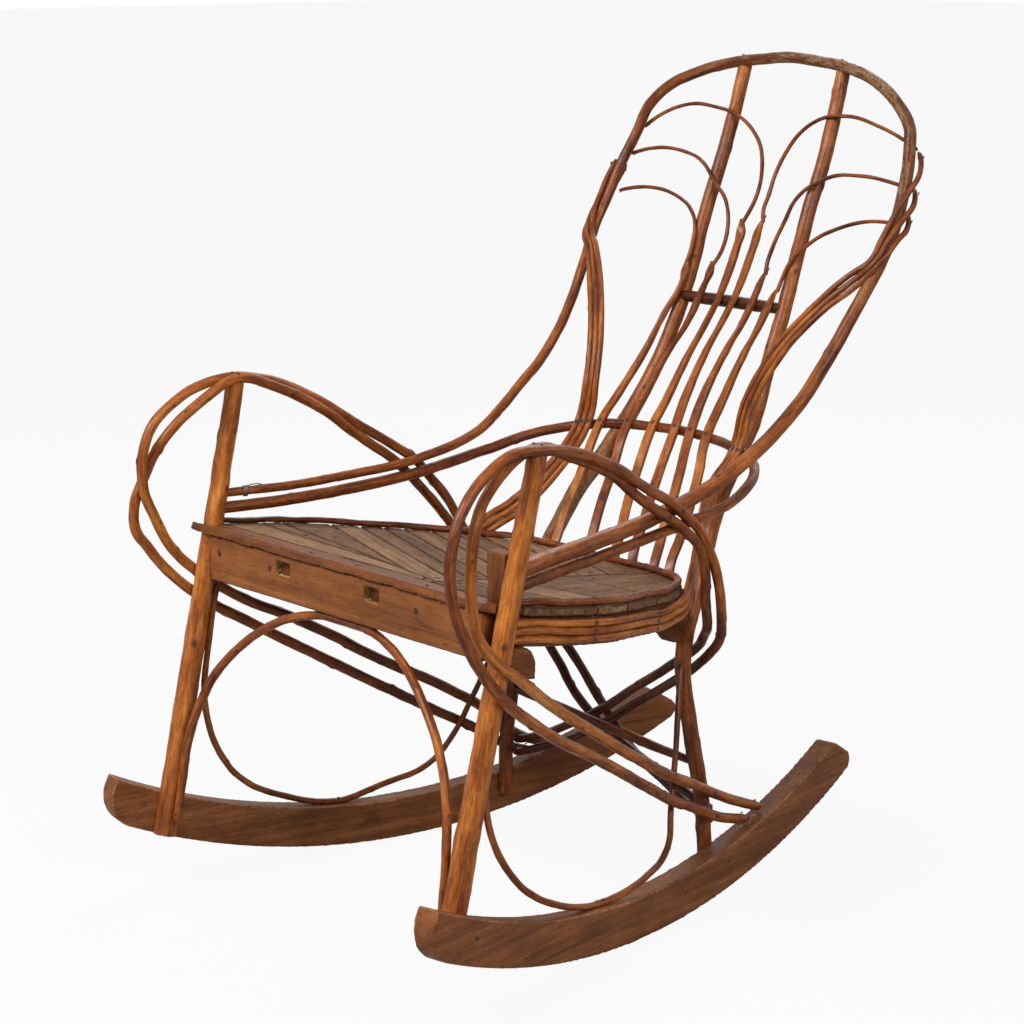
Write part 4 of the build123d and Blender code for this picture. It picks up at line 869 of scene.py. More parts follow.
@dataclass
class Timber:
    """One sawn or split piece, worn from its frame node; sizes in millimetres."""

    node: str
    slot: Slot
    voxel: float = 2.0
    rounds: int = 3
    ridge: float = 0.5
    nibble: float = 1.4
    warp: float = 0.9
    # shifts the whole piece lighter or darker: a board's own tone, and painted shade on the pieces under the seat
    shade: float = 0.0
    edge_reach: float = 2.6
    fresh: Sequence[tuple[tuple[float, float, float], tuple[float, float, float]]] = ()

    def arrises(self, mesh: bmesh.types.BMesh) -> KDTree:
        """Places along the sharp edges of a mesh."""
        places = []
        for edge in mesh.edges:
            if len(edge.link_faces) == 2 and edge.calc_face_angle(0.0) > radians(32):
                a, b = (v.co for v in edge.verts)
                count = max(1, ceil((b - a).length / (2.5 * MM)))
                places += [a.lerp(b, i / count) for i in range(count + 1)]
        return finder(places)

    def build(self, shop: Workshop) -> bpy.types.Object:
        """Wear the piece from a copy of its node and hand it over.

        Args:
            shop: the workshop that keeps the trees and finishes.

        Returns:
            The finished piece.
        """
        solid = bmesh.new()
        solid.from_mesh(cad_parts[self.node].data)
        bmesh.ops.remove_doubles(solid, verts=solid.verts, dist=0.01 * MM)
        sharp = self.arrises(solid)
        mesh = bpy.data.meshes.new(self.node)
        solid.to_mesh(mesh)
        solid.free()
        piece = placed(f"{self.node}_worn", mesh)
        remesh = piece.modifiers.new("cells", "REMESH")
        remesh.mode, remesh.voxel_size, remesh.adaptivity = "VOXEL", self.voxel * MM, 0.0
        soften = piece.modifiers.new("soften", "SMOOTH")
        soften.factor, soften.iterations = 0.5, self.rounds
        graph = bpy.context.evaluated_depsgraph_get()
        piece.data = bpy.data.meshes.new_from_object(piece.evaluated_get(graph), depsgraph=graph)
        piece.modifiers.clear()

        places = coordinates(piece)
        middle = places.mean(0)
        axes = np.linalg.svd((places - middle)[:: max(1, len(places) // 4000)], full_matrices=False)[2]
        axes = np.array([a * (1 if a[np.abs(a).argmax()] > 0 else -1) for a in axes])
        dice = random.Random(self.node)
        offset = np.array([dice.uniform(0, 5) for _ in range(3)])
        shop.carry(piece, "grain", (places - middle) @ axes.T + offset)
        near = np.array([sharp.find(p)[2] for p in places])
        shop.carry(piece, "edge", np.exp(-((near / (self.edge_reach * MM)) ** 2)))
        shop.carry(piece, "stain", shop.nails.stain(places))
        raw = np.zeros(len(places))
        for low, high in self.fresh:
            inside = np.all((places > np.array(low) * MM) & (places < np.array(high) * MM), axis=1)
            raw[inside] = 1.0
        shop.carry(piece, "fresh", raw)
        shop.carry(piece, "shade", np.full(len(places), self.shade + dice.uniform(-0.08, 0.08)))
        shop.drive(piece, shop.wear, shop.finish[self.slot], Ridge=self.ridge * MM, Nibble=self.nibble * MM,
                   Warp=self.warp * MM)
        return shop.hand_over(piece, [self.node])


# ---------------------------------------------------------------- sub-assemblies

@dataclass
class Base:
    """The rockers, the front posts and the back legs that run up as uprights."""

    post_tones: tuple[float, ...] = (0.50, 0.56, 0.60, 0.62, 0.55)
    stretcher_z: tuple[float, float] = (192.0, 168.0)      # where it meets the left leg and the right one

    def build(self, shop: Workshop) -> None:
        """Make the rockers, posts, legs and the stretcher."""
        for side, hand in SIDES:
            Timber(f"rocker_{hand}", Slot.ROCKER, ridge=0.2, nibble=1.0, warp=0.15, edge_reach=2.2).build(shop)
            foot, head = FRAME.post_ends(side)
            Stick(f"front_post_{hand}_stick", [foot, head], (29.5, 28.5, 26.6, 24.6, 23.0), [f"front_post_{hand}"],
                  self.post_tones, sides=26, lump=0.8, knots=1.1, knot_spacing=330, wander=0.9).build(shop)
            Stick(f"back_post_{hand}_stick", FRAME.leg(side), self.leg_girths(side), [f"back_post_{hand}"],
                  (0.36, 0.34, 0.40, 0.45, 0.50, 0.50, 0.44, 0.42, 0.50), self.leg_rinds(side), sides=20, lump=0.6,
                  knots=1.1, wander=0.8).build(shop)
        legs = [FRAME.leg(side) for side, _ in SIDES]
        ends = [crossing(leg, "z", z) for leg, z in zip(legs, self.stretcher_z)]
        Stick("rear_stretcher_stick", ends, (10.0, 13.0, 13.0, 13.0, 10.0), ["rear_stretcher"], (0.34,)).build(shop)

    def leg_girths(self, side: int) -> tuple[float, ...]:
        """Thickness of a leg from its foot to its top."""
        swell = 23.0 if side == LEFT else 21.0
        return (19.0, 20.0, 20.5, 21.0, swell, swell, 20.5, 19.5, 19.0, 19.0, 18.6)

    def leg_rinds(self, side: int) -> tuple[float, ...]:
        """How much bark is left on a leg from its foot to its top."""
        patch = 0.62 if side == LEFT else 0.2
        return (0.1, 0.1, 0.15, patch * 0.5, patch, patch * 0.7, 0.0, 0.0, 0.0, 0.1, 0.15)


@dataclass
class Back:
    """The two bows, the crossbar and the six slats with their withes."""

    bow: Waypoints = ((55, 485, 1027), (110, 480, 1020), (161, 470, 1006), (206, 457, 984), (234, 449, 957),
                      (246, 437, 920), (256, 417, 876), (260, 397, 835), (261, 374, 796), (251, 340, 738),
                      (241, 290, 665), (238, 250, 622), (236, 211, 592), (231, 174, 567), (225, 136, 545),
                      (224, 88, 529), (228, 25, 516), (244, -89, 505), (262, -190, 501))
    crown: tuple[float, float, float] = (0, 486, 1031)
    lower: Waypoints = ((52, 281, 552), (104, 272, 549), (159, 251, 542), (206, 204, 529), (226, 150, 514),
                        (232, 78, 502), (234, 20, 495), (247, -91, 486), (266, -200, 482))
    lower_back: tuple[float, float, float] = (0, 284, 553)
    bow_socket: float = 500.0        # height at which the bow enters the posts
    lower_socket: float = 481.0
    crossbar_z: float = 715.0
    crossbar_ahead: float = 3.0
    slat_width: float = 12.2
    slat_thickness: float = 6.5
    withe_diameter: float = 5.0
    shoulder: float = 15.0

    SLATS = {
        1: ((-100, 151, 352), (-104, 152.5, 384), (-111, 172, 421), (-120, 217, 486), (-125, 254, 546),
            (-121, 300, 600), (-113, 331, 645), (-99, 357, 700), (-92, 369, 722), (-85, 382, 762)),
        2: ((-30, 151, 352), (-38, 152.5, 384), (-51, 178, 430), (-72, 229, 495), (-83, 265, 549), (-87, 303, 591),
            (-78, 327, 631), (-57, 352, 684), (-49, 371, 726), (-41, 386, 764)),
        3: ((22, 151, 352), (14, 152.5, 384), (-8, 190, 447), (-29, 233, 500), (-40, 270, 551), (-42, 300, 588),
            (-36, 327, 636), (-23, 352, 686), (-12, 371, 730), (-8, 391, 780), (-7, 405, 822)),
        4: ((52, 151, 352), (46, 152.5, 384), (22, 203, 463), (8, 239, 507), (0, 271.5, 552), (-11, 305, 595),
            (-6, 334, 650), (8, 358, 700), (16, 372, 733), (22, 392, 785), (27, 407, 830)),
        5: ((88, 151, 352), (84, 152.5, 384), (66, 190, 445), (52, 224, 489), (30, 270, 551), (20, 306, 599),
            (30, 339, 660), (43, 359, 701), (49, 372, 732), (56, 384, 765)),
        6: ((118, 151, 352), (112, 152.5, 384), (94, 200, 456), (76, 241, 508), (62, 267, 549), (54, 309, 601),
            (60, 336, 652), (71, 356, 694), (76, 369, 722), (83, 378, 745)),
    }
    WITHES = {
        1: ((-88, 388, 776), (-95, 402, 812), (-114, 411, 829), (-140, 419, 839), (-180, 422, 848),
            (-222, 420, 848), (-256, 415, 841)),
        2: ((-38, 388, 768), (-35, 404, 812), (-48, 413, 842), (-78, 421, 866), (-111, 432, 889), (-161, 441, 901),
            (-205, 442, 902), (-255, 436, 891)),
        3: ((-4, 407, 826), (3, 417, 850), (-5, 436, 888), (-17, 445, 915), (-44, 452, 940), (-80, 457, 956),
            (-118, 461, 962), (-155, 463, 964), (-203, 460, 953), (-248, 454, 927)),
        4: ((24, 409, 834), (22, 421, 855), (22, 431, 878), (29, 443, 907), (47, 451, 935), (80, 456, 956),
            (124, 462, 961), (176, 461, 951), (246, 453, 926)),
        5: ((54, 386, 769), (56, 396, 794), (63, 406, 821), (78, 415, 856), (119, 430, 884), (174, 436, 889),
            (222, 436, 884), (241, 434, 881)),
        6: ((84, 380, 748), (91, 388, 772), (119, 400, 803), (160, 408, 824), (210, 414, 836), (252, 411, 835)),
    }

    def bow_path(self, half: Waypoints, middle: tuple[float, float, float], socket_z: float) -> list[Vector]:
        """Waypoints of a bow from the left post round the back to the right one."""
        ends = [FRAME.post_axis(side, socket_z) for side, _ in SIDES]
        return [ends[0], *to_side(half[::-1], LEFT), Vector(middle), *to_side(half, RIGHT), ends[1]]

    def main_bow(self) -> list[Vector]:
        """Waypoints of the tall bow."""
        return self.bow_path(self.bow, self.crown, self.bow_socket)

    def build(self, shop: Workshop) -> None:
        """Make the bows, the crossbar, the slats and the withes."""
        Stick("back_bow_stick", self.main_bow(),
              (11.0, 12.2, 13.3, 14.4, 15.0, 15.0, 16.4, 17.6, 18.8, 20.0), ["back_bow"],
              (0.42, 0.46, 0.50, 0.46, 0.40, 0.36, 0.38, 0.40, 0.44, 0.42, 0.40),
              (0.0, 0.0, 0.0, 0.1, 0.30, 0.52, 0.58, 0.36, 0.05, 0.0, 0.0), sides=20, lump=0.5, knots=0.5,
              wander=0.5).build(shop)
        Stick("lower_back_bow_stick", self.bow_path(self.lower, self.lower_back, self.lower_socket),
              (15.0, 14.8, 13.6, 13.0, 13.0, 13.0, 13.2), ["lower_back_bow"],
              (0.40, 0.44, 0.36, 0.34, 0.36, 0.42, 0.38), sides=16, lump=0.5, wander=0.5).build(shop)
        legs = [FRAME.leg(side) for side, _ in SIDES]
        ends = [crossing(leg, "z", self.crossbar_z) - Vector((0, self.crossbar_ahead, 0)) for leg in legs]
        Stick("back_crossbar_stick", ends, (14.5, 17.0, 17.0, 17.0, 14.5), ["back_crossbar"], (0.16,)).build(shop)
        for number, flat in self.SLATS.items():
            self.slat(shop, number, [Vector(p) for p in flat])

    def slat(self, shop: Workshop, number: int, flat: list[Vector]) -> None:
        """Make one slat: its flat with a cut shoulder, and the withe that runs on from it."""
        withe = [Vector(p) for p in self.WITHES[number]]
        aside = Vector((-1 if withe[-1].x < 0 else 1, 0, 0)) * (self.slat_width - self.withe_diameter) / 2
        down = (flat[-2] - flat[-1]).normalized()
        neck = flat[-1] + down * self.shoulder
        tone = 0.46 + 0.05 * sin(number * 2.3)
        body = smooth([*flat[:-1], neck])
        lead = (neck - body[-2]).normalized()
        full = self.slat_width
        run = run_of(body)
        count = max(3, int(run / self.shoulder))
        Stick(f"slat_{number}_flat", [*flat[:-1], neck, flat[-1] + aside], (*([full] * count), self.withe_diameter),
              [f"slat_{number}"], (tone - 0.04, tone + 0.04, tone), profile=Profile.FLAT,
              depth=self.slat_thickness / full, sides=20, lump=0.35, knots=0.3, wander=0.4).build(shop)
        start = neck + lead * self.shoulder * 0.4 + aside * 0.8
        Stick(f"slat_{number}_withe", [start, *withe], (5.6, 5.6, 5.2, 5.2, 5.2, 5.4), [f"slat_{number}"],
              (0.42, 0.38, 0.34, 0.40), tips=(0.0, 4.0), sides=10, lump=0.3, knots=0.35, knot_spacing=200,
              wander=0.3).build(shop)


@dataclass
class Arms:
    """Two sticks a side that rise from the rocker, loop over the post and end on the far leg."""

    diameter: float = 13.0
    gap: float = 0.2
    leg_pass_y: float = 146.0

    RISE = {
        ("left", "outer"): ((-204, 130, 150), (-221, 54, 202), (-240, -27, 246), (-265, -134, 311),
                            (-290, -239, 367), (-300, -281, 398), (-306, -316, 434), (-306, -341, 478),
                            (-299, -361, 522), (-300, -359, 563), (-300, -342, 597), (-298, -315, 620),
                            (-295, -276, 638)),
        ("left", "inner"): ((-206, 121, 124), (-225, 38, 172), (-255, -90, 248), (-281, -202, 316),
                            (-298, -276, 364), (-305, -307, 390), (-312, -343, 432), (-315, -364, 466),
                            (-314, -364, 497), (-313, -350, 529), (-298, -336, 568), (-291, -316, 594),
                            (-285, -282, 619)),
        ("right", "outer"): ((207, 121, 118), (223, 49, 152), (238, -18, 192), (255, -89, 234), (286, -225, 313),
                             (302, -292, 362), (310, -326, 396), (311, -352, 436), (311, -371, 480),
                             (309, -376, 520), (305, -359, 577), (300, -316, 620), (296, -277, 636)),
        ("right", "inner"): ((206, 121, 147), (225, 37, 189), (242, -36, 231), (255, -90, 264), (284, -217, 345),
                             (299, -275, 388), (304, -310, 413), (303, -333, 445), (306, -343, 482),
                             (308, -344, 530), (299, -322, 586), (291, -299, 604), (285, -268, 624)),
    }
    FALL = {
        ("left", "outer"): ((-286, -176, 636), (-275, -119, 611), (-259, -59, 571), (-247, 0, 533), (-242, 32, 511),
                            (-248, 60, 485), (-245, 90, 448), (-240, 114, 406), (-231, 133, 368), (-208, 149, 334),
                            (-172, 163, 298), (-145, 177, 258), (-70, 178, 184), (0, 176, 152), (80, 172, 128),
                            (140, 165, 114)),
        ("left", "inner"): ((-271, -170, 627), (-259, -112, 595), (-250, -55, 552), (-243, 0, 512), (-249, 34, 483),
                            (-242, 72, 440), (-231, 98, 400), (-216, 120, 364), (-190, 143, 342), (-153, 166, 308),
                            (-112, 182, 261), (-40, 189, 184), (12, 190, 138), (79, 184, 110), (140, 169, 97)),
        ("right", "outer"): ((278, -155, 620), (268, -90, 594), (256, -36, 564), (243, 37, 523), (246, 73, 490),
                             (246, 95, 452), (241, 114, 406), (230, 129, 366), (208, 149, 334), (168, 162, 298),
                             (103, 166, 251), (46, 164, 214), (-10, 162, 176), (-70, 161, 140), (-130, 161, 114)),
        ("right", "inner"): ((266, -155, 614), (257, -90, 586), (250, -32, 546), (244, 19, 515), (246, 43, 498),
                             (246, 72, 471), (238, 91, 436), (228, 102, 396), (216, 118, 362), (190, 142, 341),
                             (158, 163, 314), (103, 167, 275), (46, 165, 236), (-10, 162, 197), (-70, 161, 162),
                             (-130, 161, 132)),
    }
    END_Y = {("left", "outer"): 236.0, ("left", "inner"): 206.0, ("right", "outer"): 214.0,
             ("right", "inner"): 243.0}
    TAIL_Z = {("left", "outer"): 106.0, ("left", "inner"): 90.0, ("right", "outer"): 92.0,
              ("right", "inner"): 111.0}
    PASS_Z = {("left", "outer"): 134.0, ("left", "inner"): 107.0, ("right", "outer"): 105.0,
              ("right", "inner"): 134.0}
    TONES = {("left", "outer"): (0.34, 0.38, 0.36, 0.42, 0.60, 0.56, 0.46, 0.40, 0.42, 0.34, 0.26, 0.22, 0.24),
             ("left", "inner"): (0.34, 0.36, 0.40, 0.46, 0.58, 0.52, 0.48, 0.44, 0.36, 0.32, 0.26, 0.22, 0.24),
             ("right", "outer"): (0.46, 0.44, 0.46, 0.54, 0.36, 0.34, 0.38, 0.42, 0.48, 0.38, 0.28, 0.24, 0.24),
             ("right", "inner"): (0.46, 0.48, 0.50, 0.62, 0.62, 0.44, 0.40, 0.42, 0.44, 0.36, 0.28, 0.22, 0.24)}

    def route(self, side: int, hand: str, place: str) -> list[Vector]:
        """Waypoints of one arm stick from the rocker to its nailed end on the far leg."""
        key, radius = (hand, place), self.diameter / 2
        leg, far_leg = FRAME.leg(side), FRAME.leg(-side)
        end_y = self.END_Y[key]
        start = Vector((side * FRAME.rocker_mid_x(end_y), end_y, FRAME.rocker_top_z(end_y) + radius - FRAME.lap))
        beside = crossing(leg, "z", self.PASS_Z[key])
        reach = FRAME.upright_diameter / 2 + radius - FRAME.lap
        passing = Vector((beside.x + side * (reach + 1.5), self.leg_pass_y, beside.z))
        offset = (radius + self.gap / 2) * (1 if place == "outer" else -1)
        head = FRAME.post_ends(side)[1]
        over = Vector((head.x + side * offset, head.y, head.z + radius - FRAME.lap))
        tail = crossing(far_leg, "z", self.TAIL_Z[key])
        tail_end = Vector((tail.x, tail.y + reach, tail.z))
        rise = [Vector(p) for p in self.RISE[key]]
        fall = [Vector(p) for p in self.FALL[key]]
        return [start, passing, *rise, over, *fall, tail_end]

    def build(self, shop: Workshop) -> None:
        """Make the four arm sticks."""
        for side, hand in SIDES:
            for place in ("outer", "inner"):
                Stick(f"arm_rod_{hand}_{place}_stick", self.route(side, hand, place),
                      (12.8, 13.8, 14.0, 13.8, 13.2, 13.0, 13.0, 12.8, 12.6, 12.4, 12.0, 11.4),
                      [f"arm_rod_{hand}_{place}"], self.TONES[hand, place], tips=(16.0, 9.0), sides=18, lump=0.6,
                      knots=1.2, knot_spacing=210, wander=0.45).build(shop)


@dataclass
class Braces:
    """The U-shaped side braces and the front arch."""

    diameter: float = 8.0
    arch_diameter: float = 11.0
    post_top_z: float = 388.0        # a brace runs down the post from here
    post_low_z: float = 310.0
    leg_top_z: float = 300.0         # and ends on the leg here
    low_y: float = -95.0             # where it rests on the rocker
    seated: float = 2.4              # how far it stands off from a touch, on post and leg
    post_aside: float = 9.0
    leg_aside: float = 6.0
    arch: Waypoints = ((58, -280, 388), (112, -288, 372), (165, -300, 340), (214, -314, 292), (240, -325, 244),
                       (253, -335, 195), (258, -344, 135), (259, -352, 88))

    def brace(self, side: int) -> list[Vector]:
        """Waypoints of a brace from the post down to the rocker and up to the leg."""
        radius = self.diameter / 2
        on_post = []
        for height in (self.post_top_z, self.post_low_z):
            post = FRAME.post_axis(side, height)
            on_post.append(Vector((post.x - side * self.post_aside,
                                   post.y + FRAME.post_radius(height) + self.seated, height)))
        leg = crossing(FRAME.leg(side), "z", self.leg_top_z)
        low = Vector((side * FRAME.rocker_mid_x(self.low_y), self.low_y,
                      FRAME.rocker_top_z(self.low_y) + radius - FRAME.lap / 2))
        end = Vector((leg.x + side * self.leg_aside,
                      leg.y - FRAME.upright_diameter / 2 - radius + self.seated, self.leg_top_z))
        front = [(273, -294, 232), (275, -275, 168), (277, -236, 118), (271, -175, 83)]
        rear = [(250, -25, 71), (229, 40, 92), (206, 70, 140), (193, 88, 185), (178, 107, 240)]
        return [*on_post, *to_side(front, side), low, *to_side(rear, side), end]

    def build(self, shop: Workshop) -> None:
        """Make the braces and the arch."""
        for side, hand in SIDES:
            Stick(f"side_brace_{hand}_stick", self.brace(side), (8.0, 8.2, 8.6, 8.4, 8.6, 8.0, 7.6, 7.4),
                  [f"side_brace_{hand}"], (0.36, 0.40, 0.44, 0.40, 0.38, 0.34, 0.30), tips=(8.0, 8.0), sides=12,
                  lump=0.5, knots=0.9, knot_spacing=180, wander=0.5).build(shop)
        crown = Vector((0, -277, 395.0 - self.arch_diameter / 2 + FRAME.lap / 3))
        route = [*to_side(self.arch[::-1], LEFT), crown, *to_side(self.arch, RIGHT)]
        Stick("front_arch_stick", route, (11.4, 11.6, 11.0, 10.6, 10.8, 11.2, 11.0), ["front_arch"],
              (0.42, 0.44, 0.46, 0.40, 0.44, 0.52, 0.44), tips=(10.0, 10.0), sides=16, lump=0.6, knots=1.0,
              knot_spacing=200).build(shop)


@dataclass
class Seat:
    """The boards, the rails under them, the rim rod and the three strands a side."""

    outline: Sequence[tuple[float, float]] = ((288, -250), (295, -172), (289, -112), (261, -30), (231, 42),
                                              (187, 103), (150, 133), (110, 146), (50, 149))
    rear_edge: tuple[float, float] = (0, 149)
    rim_diameter: float = 9.0
    rim_inset: float = 6.0
    strip_rear: float = -253.0
    strand_diameter: float = 8.6
    strand_pitch: float = 8.9
    band_pitch: float = 9.4
    band_drop: float = 19.0
    band_inset: float = 2.0
    boards: int = 15
    tenon_front: float = -276.0
    tenon_depth: float = 8.0

    # Each strand's way round the bow: height there, degrees round it from the front, and how far it stands off.
    WRAP = {
        (RIGHT, -1): [(852, 150, 0), (836, 115, 4), (818, 82, 2), (796, 52, 0)],
        (RIGHT, 0): [(884, 150, 0), (864, 108, 5), (838, 68, 2), (810, 30, 0), (790, 12, 0)],
        (RIGHT, 1): [(925, 150, 0), (899, 98, 7), (868, 60, 3), (838, 15, 0), (812, -10, 0), (790, -28, 0)],
        (LEFT, -1): [(882, 174, 0), (860, 159, 0), (834, 131, 0), (808, 90, 0), (786, 40, 0)],
        (LEFT, 0): [(882, 128, 0), (860, 112, 0), (834, 85, 0), (808, 51, 0), (786, 8, 0)],
        (LEFT, 1): [(882, 82, 0), (860, 65, 0), (834, 39, 0), (808, 5, 0), (786, -36, 0)],
    }
    BUNDLE = {
        RIGHT: (((238, 343, 768), (-0.5, 0.2, 0.8)), ((213, 323, 741), (-0.9, 0.2, 0.4)),
                ((163, 286, 669), (-1, 0.2, 0.2)), ((141, 265, 611), (-1, 0.1, 0)), ((131, 251, 548), (-1, 0.3, 0)),
                ((136, 208, 510), (-1, 0.4, 0)), ((150, 176, 478), (-0.8, 0.6, 0)),
                ((171, 146, 449), (-0.5, 0.6, -0.5)), ((193, 113, 419), (-0.3, 0.3, -0.8)),
                ((214, 80, 393), (0, 0, -1))),
        LEFT: (((-234, 343, 768), (0.5, 0.2, 0.8)), ((-208, 323, 741), (0.9, 0.2, 0.4)),
               ((-165, 286, 669), (1, 0.2, 0.2)), ((-148, 263, 611), (1, 0.1, 0)), ((-147.5, 246.5, 548), (1, 0.4, 0)),
               ((-144, 210, 510), (1, 0.4, 0)), ((-153, 180, 478), (0.8, 0.6, 0)),
               ((-170, 150, 446), (0.5, 0.6, -0.5)), ((-193, 113, 419), (0.3, 0.3, -0.8)),
               ((-214, 80, 393), (0, 0, -1))),
    }
    BAND_EDGE = range(5, 10)

    def edge(self, inset: float) -> list[tuple[float, float]]:
        """Right half of the seat's edge, back to front, moved toward the middle by the inset."""
        half = [self.rear_edge, *reversed(self.outline)]
        moved = []
        for i, (x, y) in enumerate(half):
            before, after = half[max(i - 1, 0)], half[min(i + 1, len(half) - 1)]
            along_x, along_y = after[0] - before[0], after[1] - before[1]
            length = hypot(along_x, along_y)
            moved.append((x + along_y / length * inset, y - along_x / length * inset))
        return moved

    def rim(self) -> list[Vector]:
        """Waypoints of the rim rod, post to post round the back."""
        above = self.rim_diameter / 2 + 0.05
        right = [FRAME.on_seat(x, y, above) for x, y in self.edge(self.rim_inset)]
        head = FRAME.post_axis(RIGHT, FRAME.seat_top(self.strip_rear))
        right.append(FRAME.on_seat(head.x, self.strip_rear - self.rim_diameter, above))
        return [*(Vector((-p.x, p.y, p.z)) for p in reversed(right[1:])), *right]

    def wrap(self, back: Back, side: int, place: int) -> list[Vector]:
        """Waypoints of a strand round the bow's outside, from behind it to its front."""
        half = to_side(back.bow, side)
        bow = smooth(back.main_bow())
        places = shares(bow)
        points = []
        for height, angle, stand_off in self.WRAP[side, place]:
            target = crossing(half, "z", height)
            i = min(range(1, len(bow) - 1), key=lambda k: (bow[k] - target).length)
            centre, along = bow[i], (bow[i + 1] - bow[i - 1]).normalized()
            front = (Vector((0, -1, 0)) - along * along.dot(Vector((0, -1, 0)))).normalized()
            outer = along.cross(front)
            outer = outer * (side if outer.x > 0 else -side)
            reach = spread((11.0, 16.0, 20.0), places[i]) / 2 + self.strand_diameter / 2 - FRAME.lap / 2 + stand_off
            turn = radians(angle)
            points.append(centre + (front * cos(turn) + outer * sin(turn)) * reach)
        return points

    def strand(self, back: Back, side: int, place: int) -> list[Vector]:
        """Waypoints of one strand: place 1 becomes the lowest band, -1 the highest."""
        edge = self.edge(self.band_inset)
        drop = -self.band_drop - self.band_pitch
        bands = [FRAME.on_seat(side * edge[i][0], edge[i][1], drop) for i in self.BAND_EDGE]
        bands.append(FRAME.post_axis(side, FRAME.seat_top(self.strip_rear) + drop))
        middle = [Vector(point) for point, _ in self.BUNDLE[side]] + bands
        fans = [Vector(fan) for _, fan in self.BUNDLE[side]] + [-FRAME.seat_up()] * len(bands)
        points = self.wrap(back, side, place)
        for point, fan, along in zip(middle, fans, tangents(middle)):
            across = (fan - along * along.dot(fan)).normalized()
            pitch = self.strand_pitch if fan.z > -0.9 else self.band_pitch
            points.append(point + across * pitch * place)
        return points

    def build(self, shop: Workshop, back: Back) -> None:
        """Make the boards, rails, rim rod and strands."""
        for number in range(1, self.boards + 1):
            # the boards' dark arrises reach far enough to darken their sides and ends: painted shade under the rim rod
            Timber(f"seat_board_{number:02d}", Slot.BOARD, voxel=1.8, rounds=2, ridge=0.7, nibble=1.6,
                   edge_reach=3.4, shade=0.16 * sin(number * 1.9)).build(shop)
        holes = [((x - 13.0, -283.5, 425.0), (x + 13.0, -266.0, 446.0)) for x in (-114.0, 58.0)]
        Timber("front_seat_rail", Slot.RAIL, fresh=holes, shade=0.05, nibble=1.0).build(shop)
        for number, (low, high) in enumerate(holes):
            self.tenon(shop, number, low, high)
        Timber("seat_front_strip", Slot.RAIL, voxel=1.6, nibble=3.0, shade=-0.12, warp=1.6).build(shop)
        # the rails, cleats, battens and bracket under the seat are painted darker: painted shade under the seat
        for node in ("front_ledger", "rear_seat_rail", "seat_centre_batten", "seat_bracket_right",
                     "seat_cleat_left", "seat_cleat_right", "seat_side_rail_left", "seat_side_rail_right"):
            Timber(node, Slot.RAIL, shade=-0.18, nibble=1.8).build(shop)
        Stick("seat_rim_rod_stick", self.rim(), (7.4, 8.4, 9.0, 9.0, 9.2, 9.0, 8.8), ["seat_rim_rod"],
              (0.28, 0.30, 0.32, 0.30, 0.36, 0.40, 0.36), (0.25,), tips=(5.0, 5.0), sides=12, lump=0.6, knots=1.0,
              knot_spacing=140, wander=0.9).build(shop)
        for side, hand in SIDES:
            for place in (-1, 0, 1):
                node = f"side_strand_{hand}_{place + 2}"
                Stick(f"{node}_stick", self.strand(back, side, place), (7.0, 8.0, 8.8, 9.2, 9.2), [node],
                      (0.30, 0.44, 0.50, 0.46, 0.52, 0.56), tips=(10.0, 0.0), sides=12, lump=0.4, knots=0.7,
                      knot_spacing=240, wander=0.35).build(shop)

    def tenon(self, shop: Workshop, number: int, low: tuple[float, float, float],
              high: tuple[float, float, float]) -> None:
        """Close the back of a mortise with the broken end of its tenon, painted dark as the shade inside the mortise.

        Args:
            shop: the workshop that keeps the finishes.
            number: which mortise it is.
            low: one corner of the mortise.
            high: the far corner.
        """
        mesh = bpy.data.meshes.new("tenon")
        block = bmesh.new()
        bmesh.ops.create_cube(block, size=1.0)
        front, back = self.tenon_front, self.tenon_front + self.tenon_depth
        middle = Vector(((low[0] + high[0]) / 2, (front + back) / 2, (low[2] + high[2]) / 2)) * MM
        for corner in block.verts:
            size = ((high[0] - low[0]) * 0.9, back - front, (high[2] - low[2]) * 0.95)
            corner.co = middle + Vector([c * s * MM for c, s in zip(corner.co, size)])
        block.to_mesh(mesh)
        block.free()
        piece = placed(f"mortise_back_{number + 1}", mesh)
        places = np.array([v.co[:] for v in mesh.vertices])
        shop.carry(piece, "grain", places)
        # the tenon's end is painted much darker: painted shade inside the mortise
        for name, value in (("edge", 0.0), ("stain", 0.0), ("fresh", 0.0), ("shade", -0.35)):
            shop.carry(piece, name, np.full(len(places), value))
        mesh.materials.append(shop.finish[Slot.RAIL])
        shop.hand_over(piece, [])


@dataclass
class WireTie:
    """The wire wound round the bow's thin end."""

    diameter: float = 1.6
    turns: int = 3
    from_post: float = 34.0
    bow_end: float = 11.2        # the bow's thickness there
    steps: int = 16              # places in one turn
    pitch: float = 1.15          # of its own thickness, from one turn to the next

    def build(self, shop: Workshop, back: Back) -> None:
        """Wind the wire and lay its loose end along the bow."""
        bow = smooth(back.main_bow())
        length = run_of(bow)
        run = [s * length for s in shares(bow)]
        i = min(range(1, len(bow) - 1), key=lambda k: abs(run[k] - self.from_post))
        along = (bow[i + 1] - bow[i - 1]).normalized()
        up = (Vector((0, 0, 1)) - along * along.z).normalized()
        out = along.cross(up)
        reach = self.bow_end / 2 + self.diameter / 2
        points = []
        for k in range(self.turns * self.steps + 1):
            angle = 2 * pi * k / self.steps
            ahead = along * (k / self.steps * self.diameter * self.pitch)
            points.append(bow[i] + ahead + (up * cos(angle) + out * sin(angle)) * reach)
        tail = [points[-1] + along * 9 + up * 1.5, points[-1] + along * 19 + up * 0.5 + out * 2]
        Stick("wire_tie_strand", [*points, *tail], (self.diameter,), ["wire_tie"], sides=8, lump=0.05, knots=0.0,
              wander=0.0, spacing=1.2, slot=Slot.WIRE).build(shop)


# ---------------------------------------------------------------- floor, light and camera

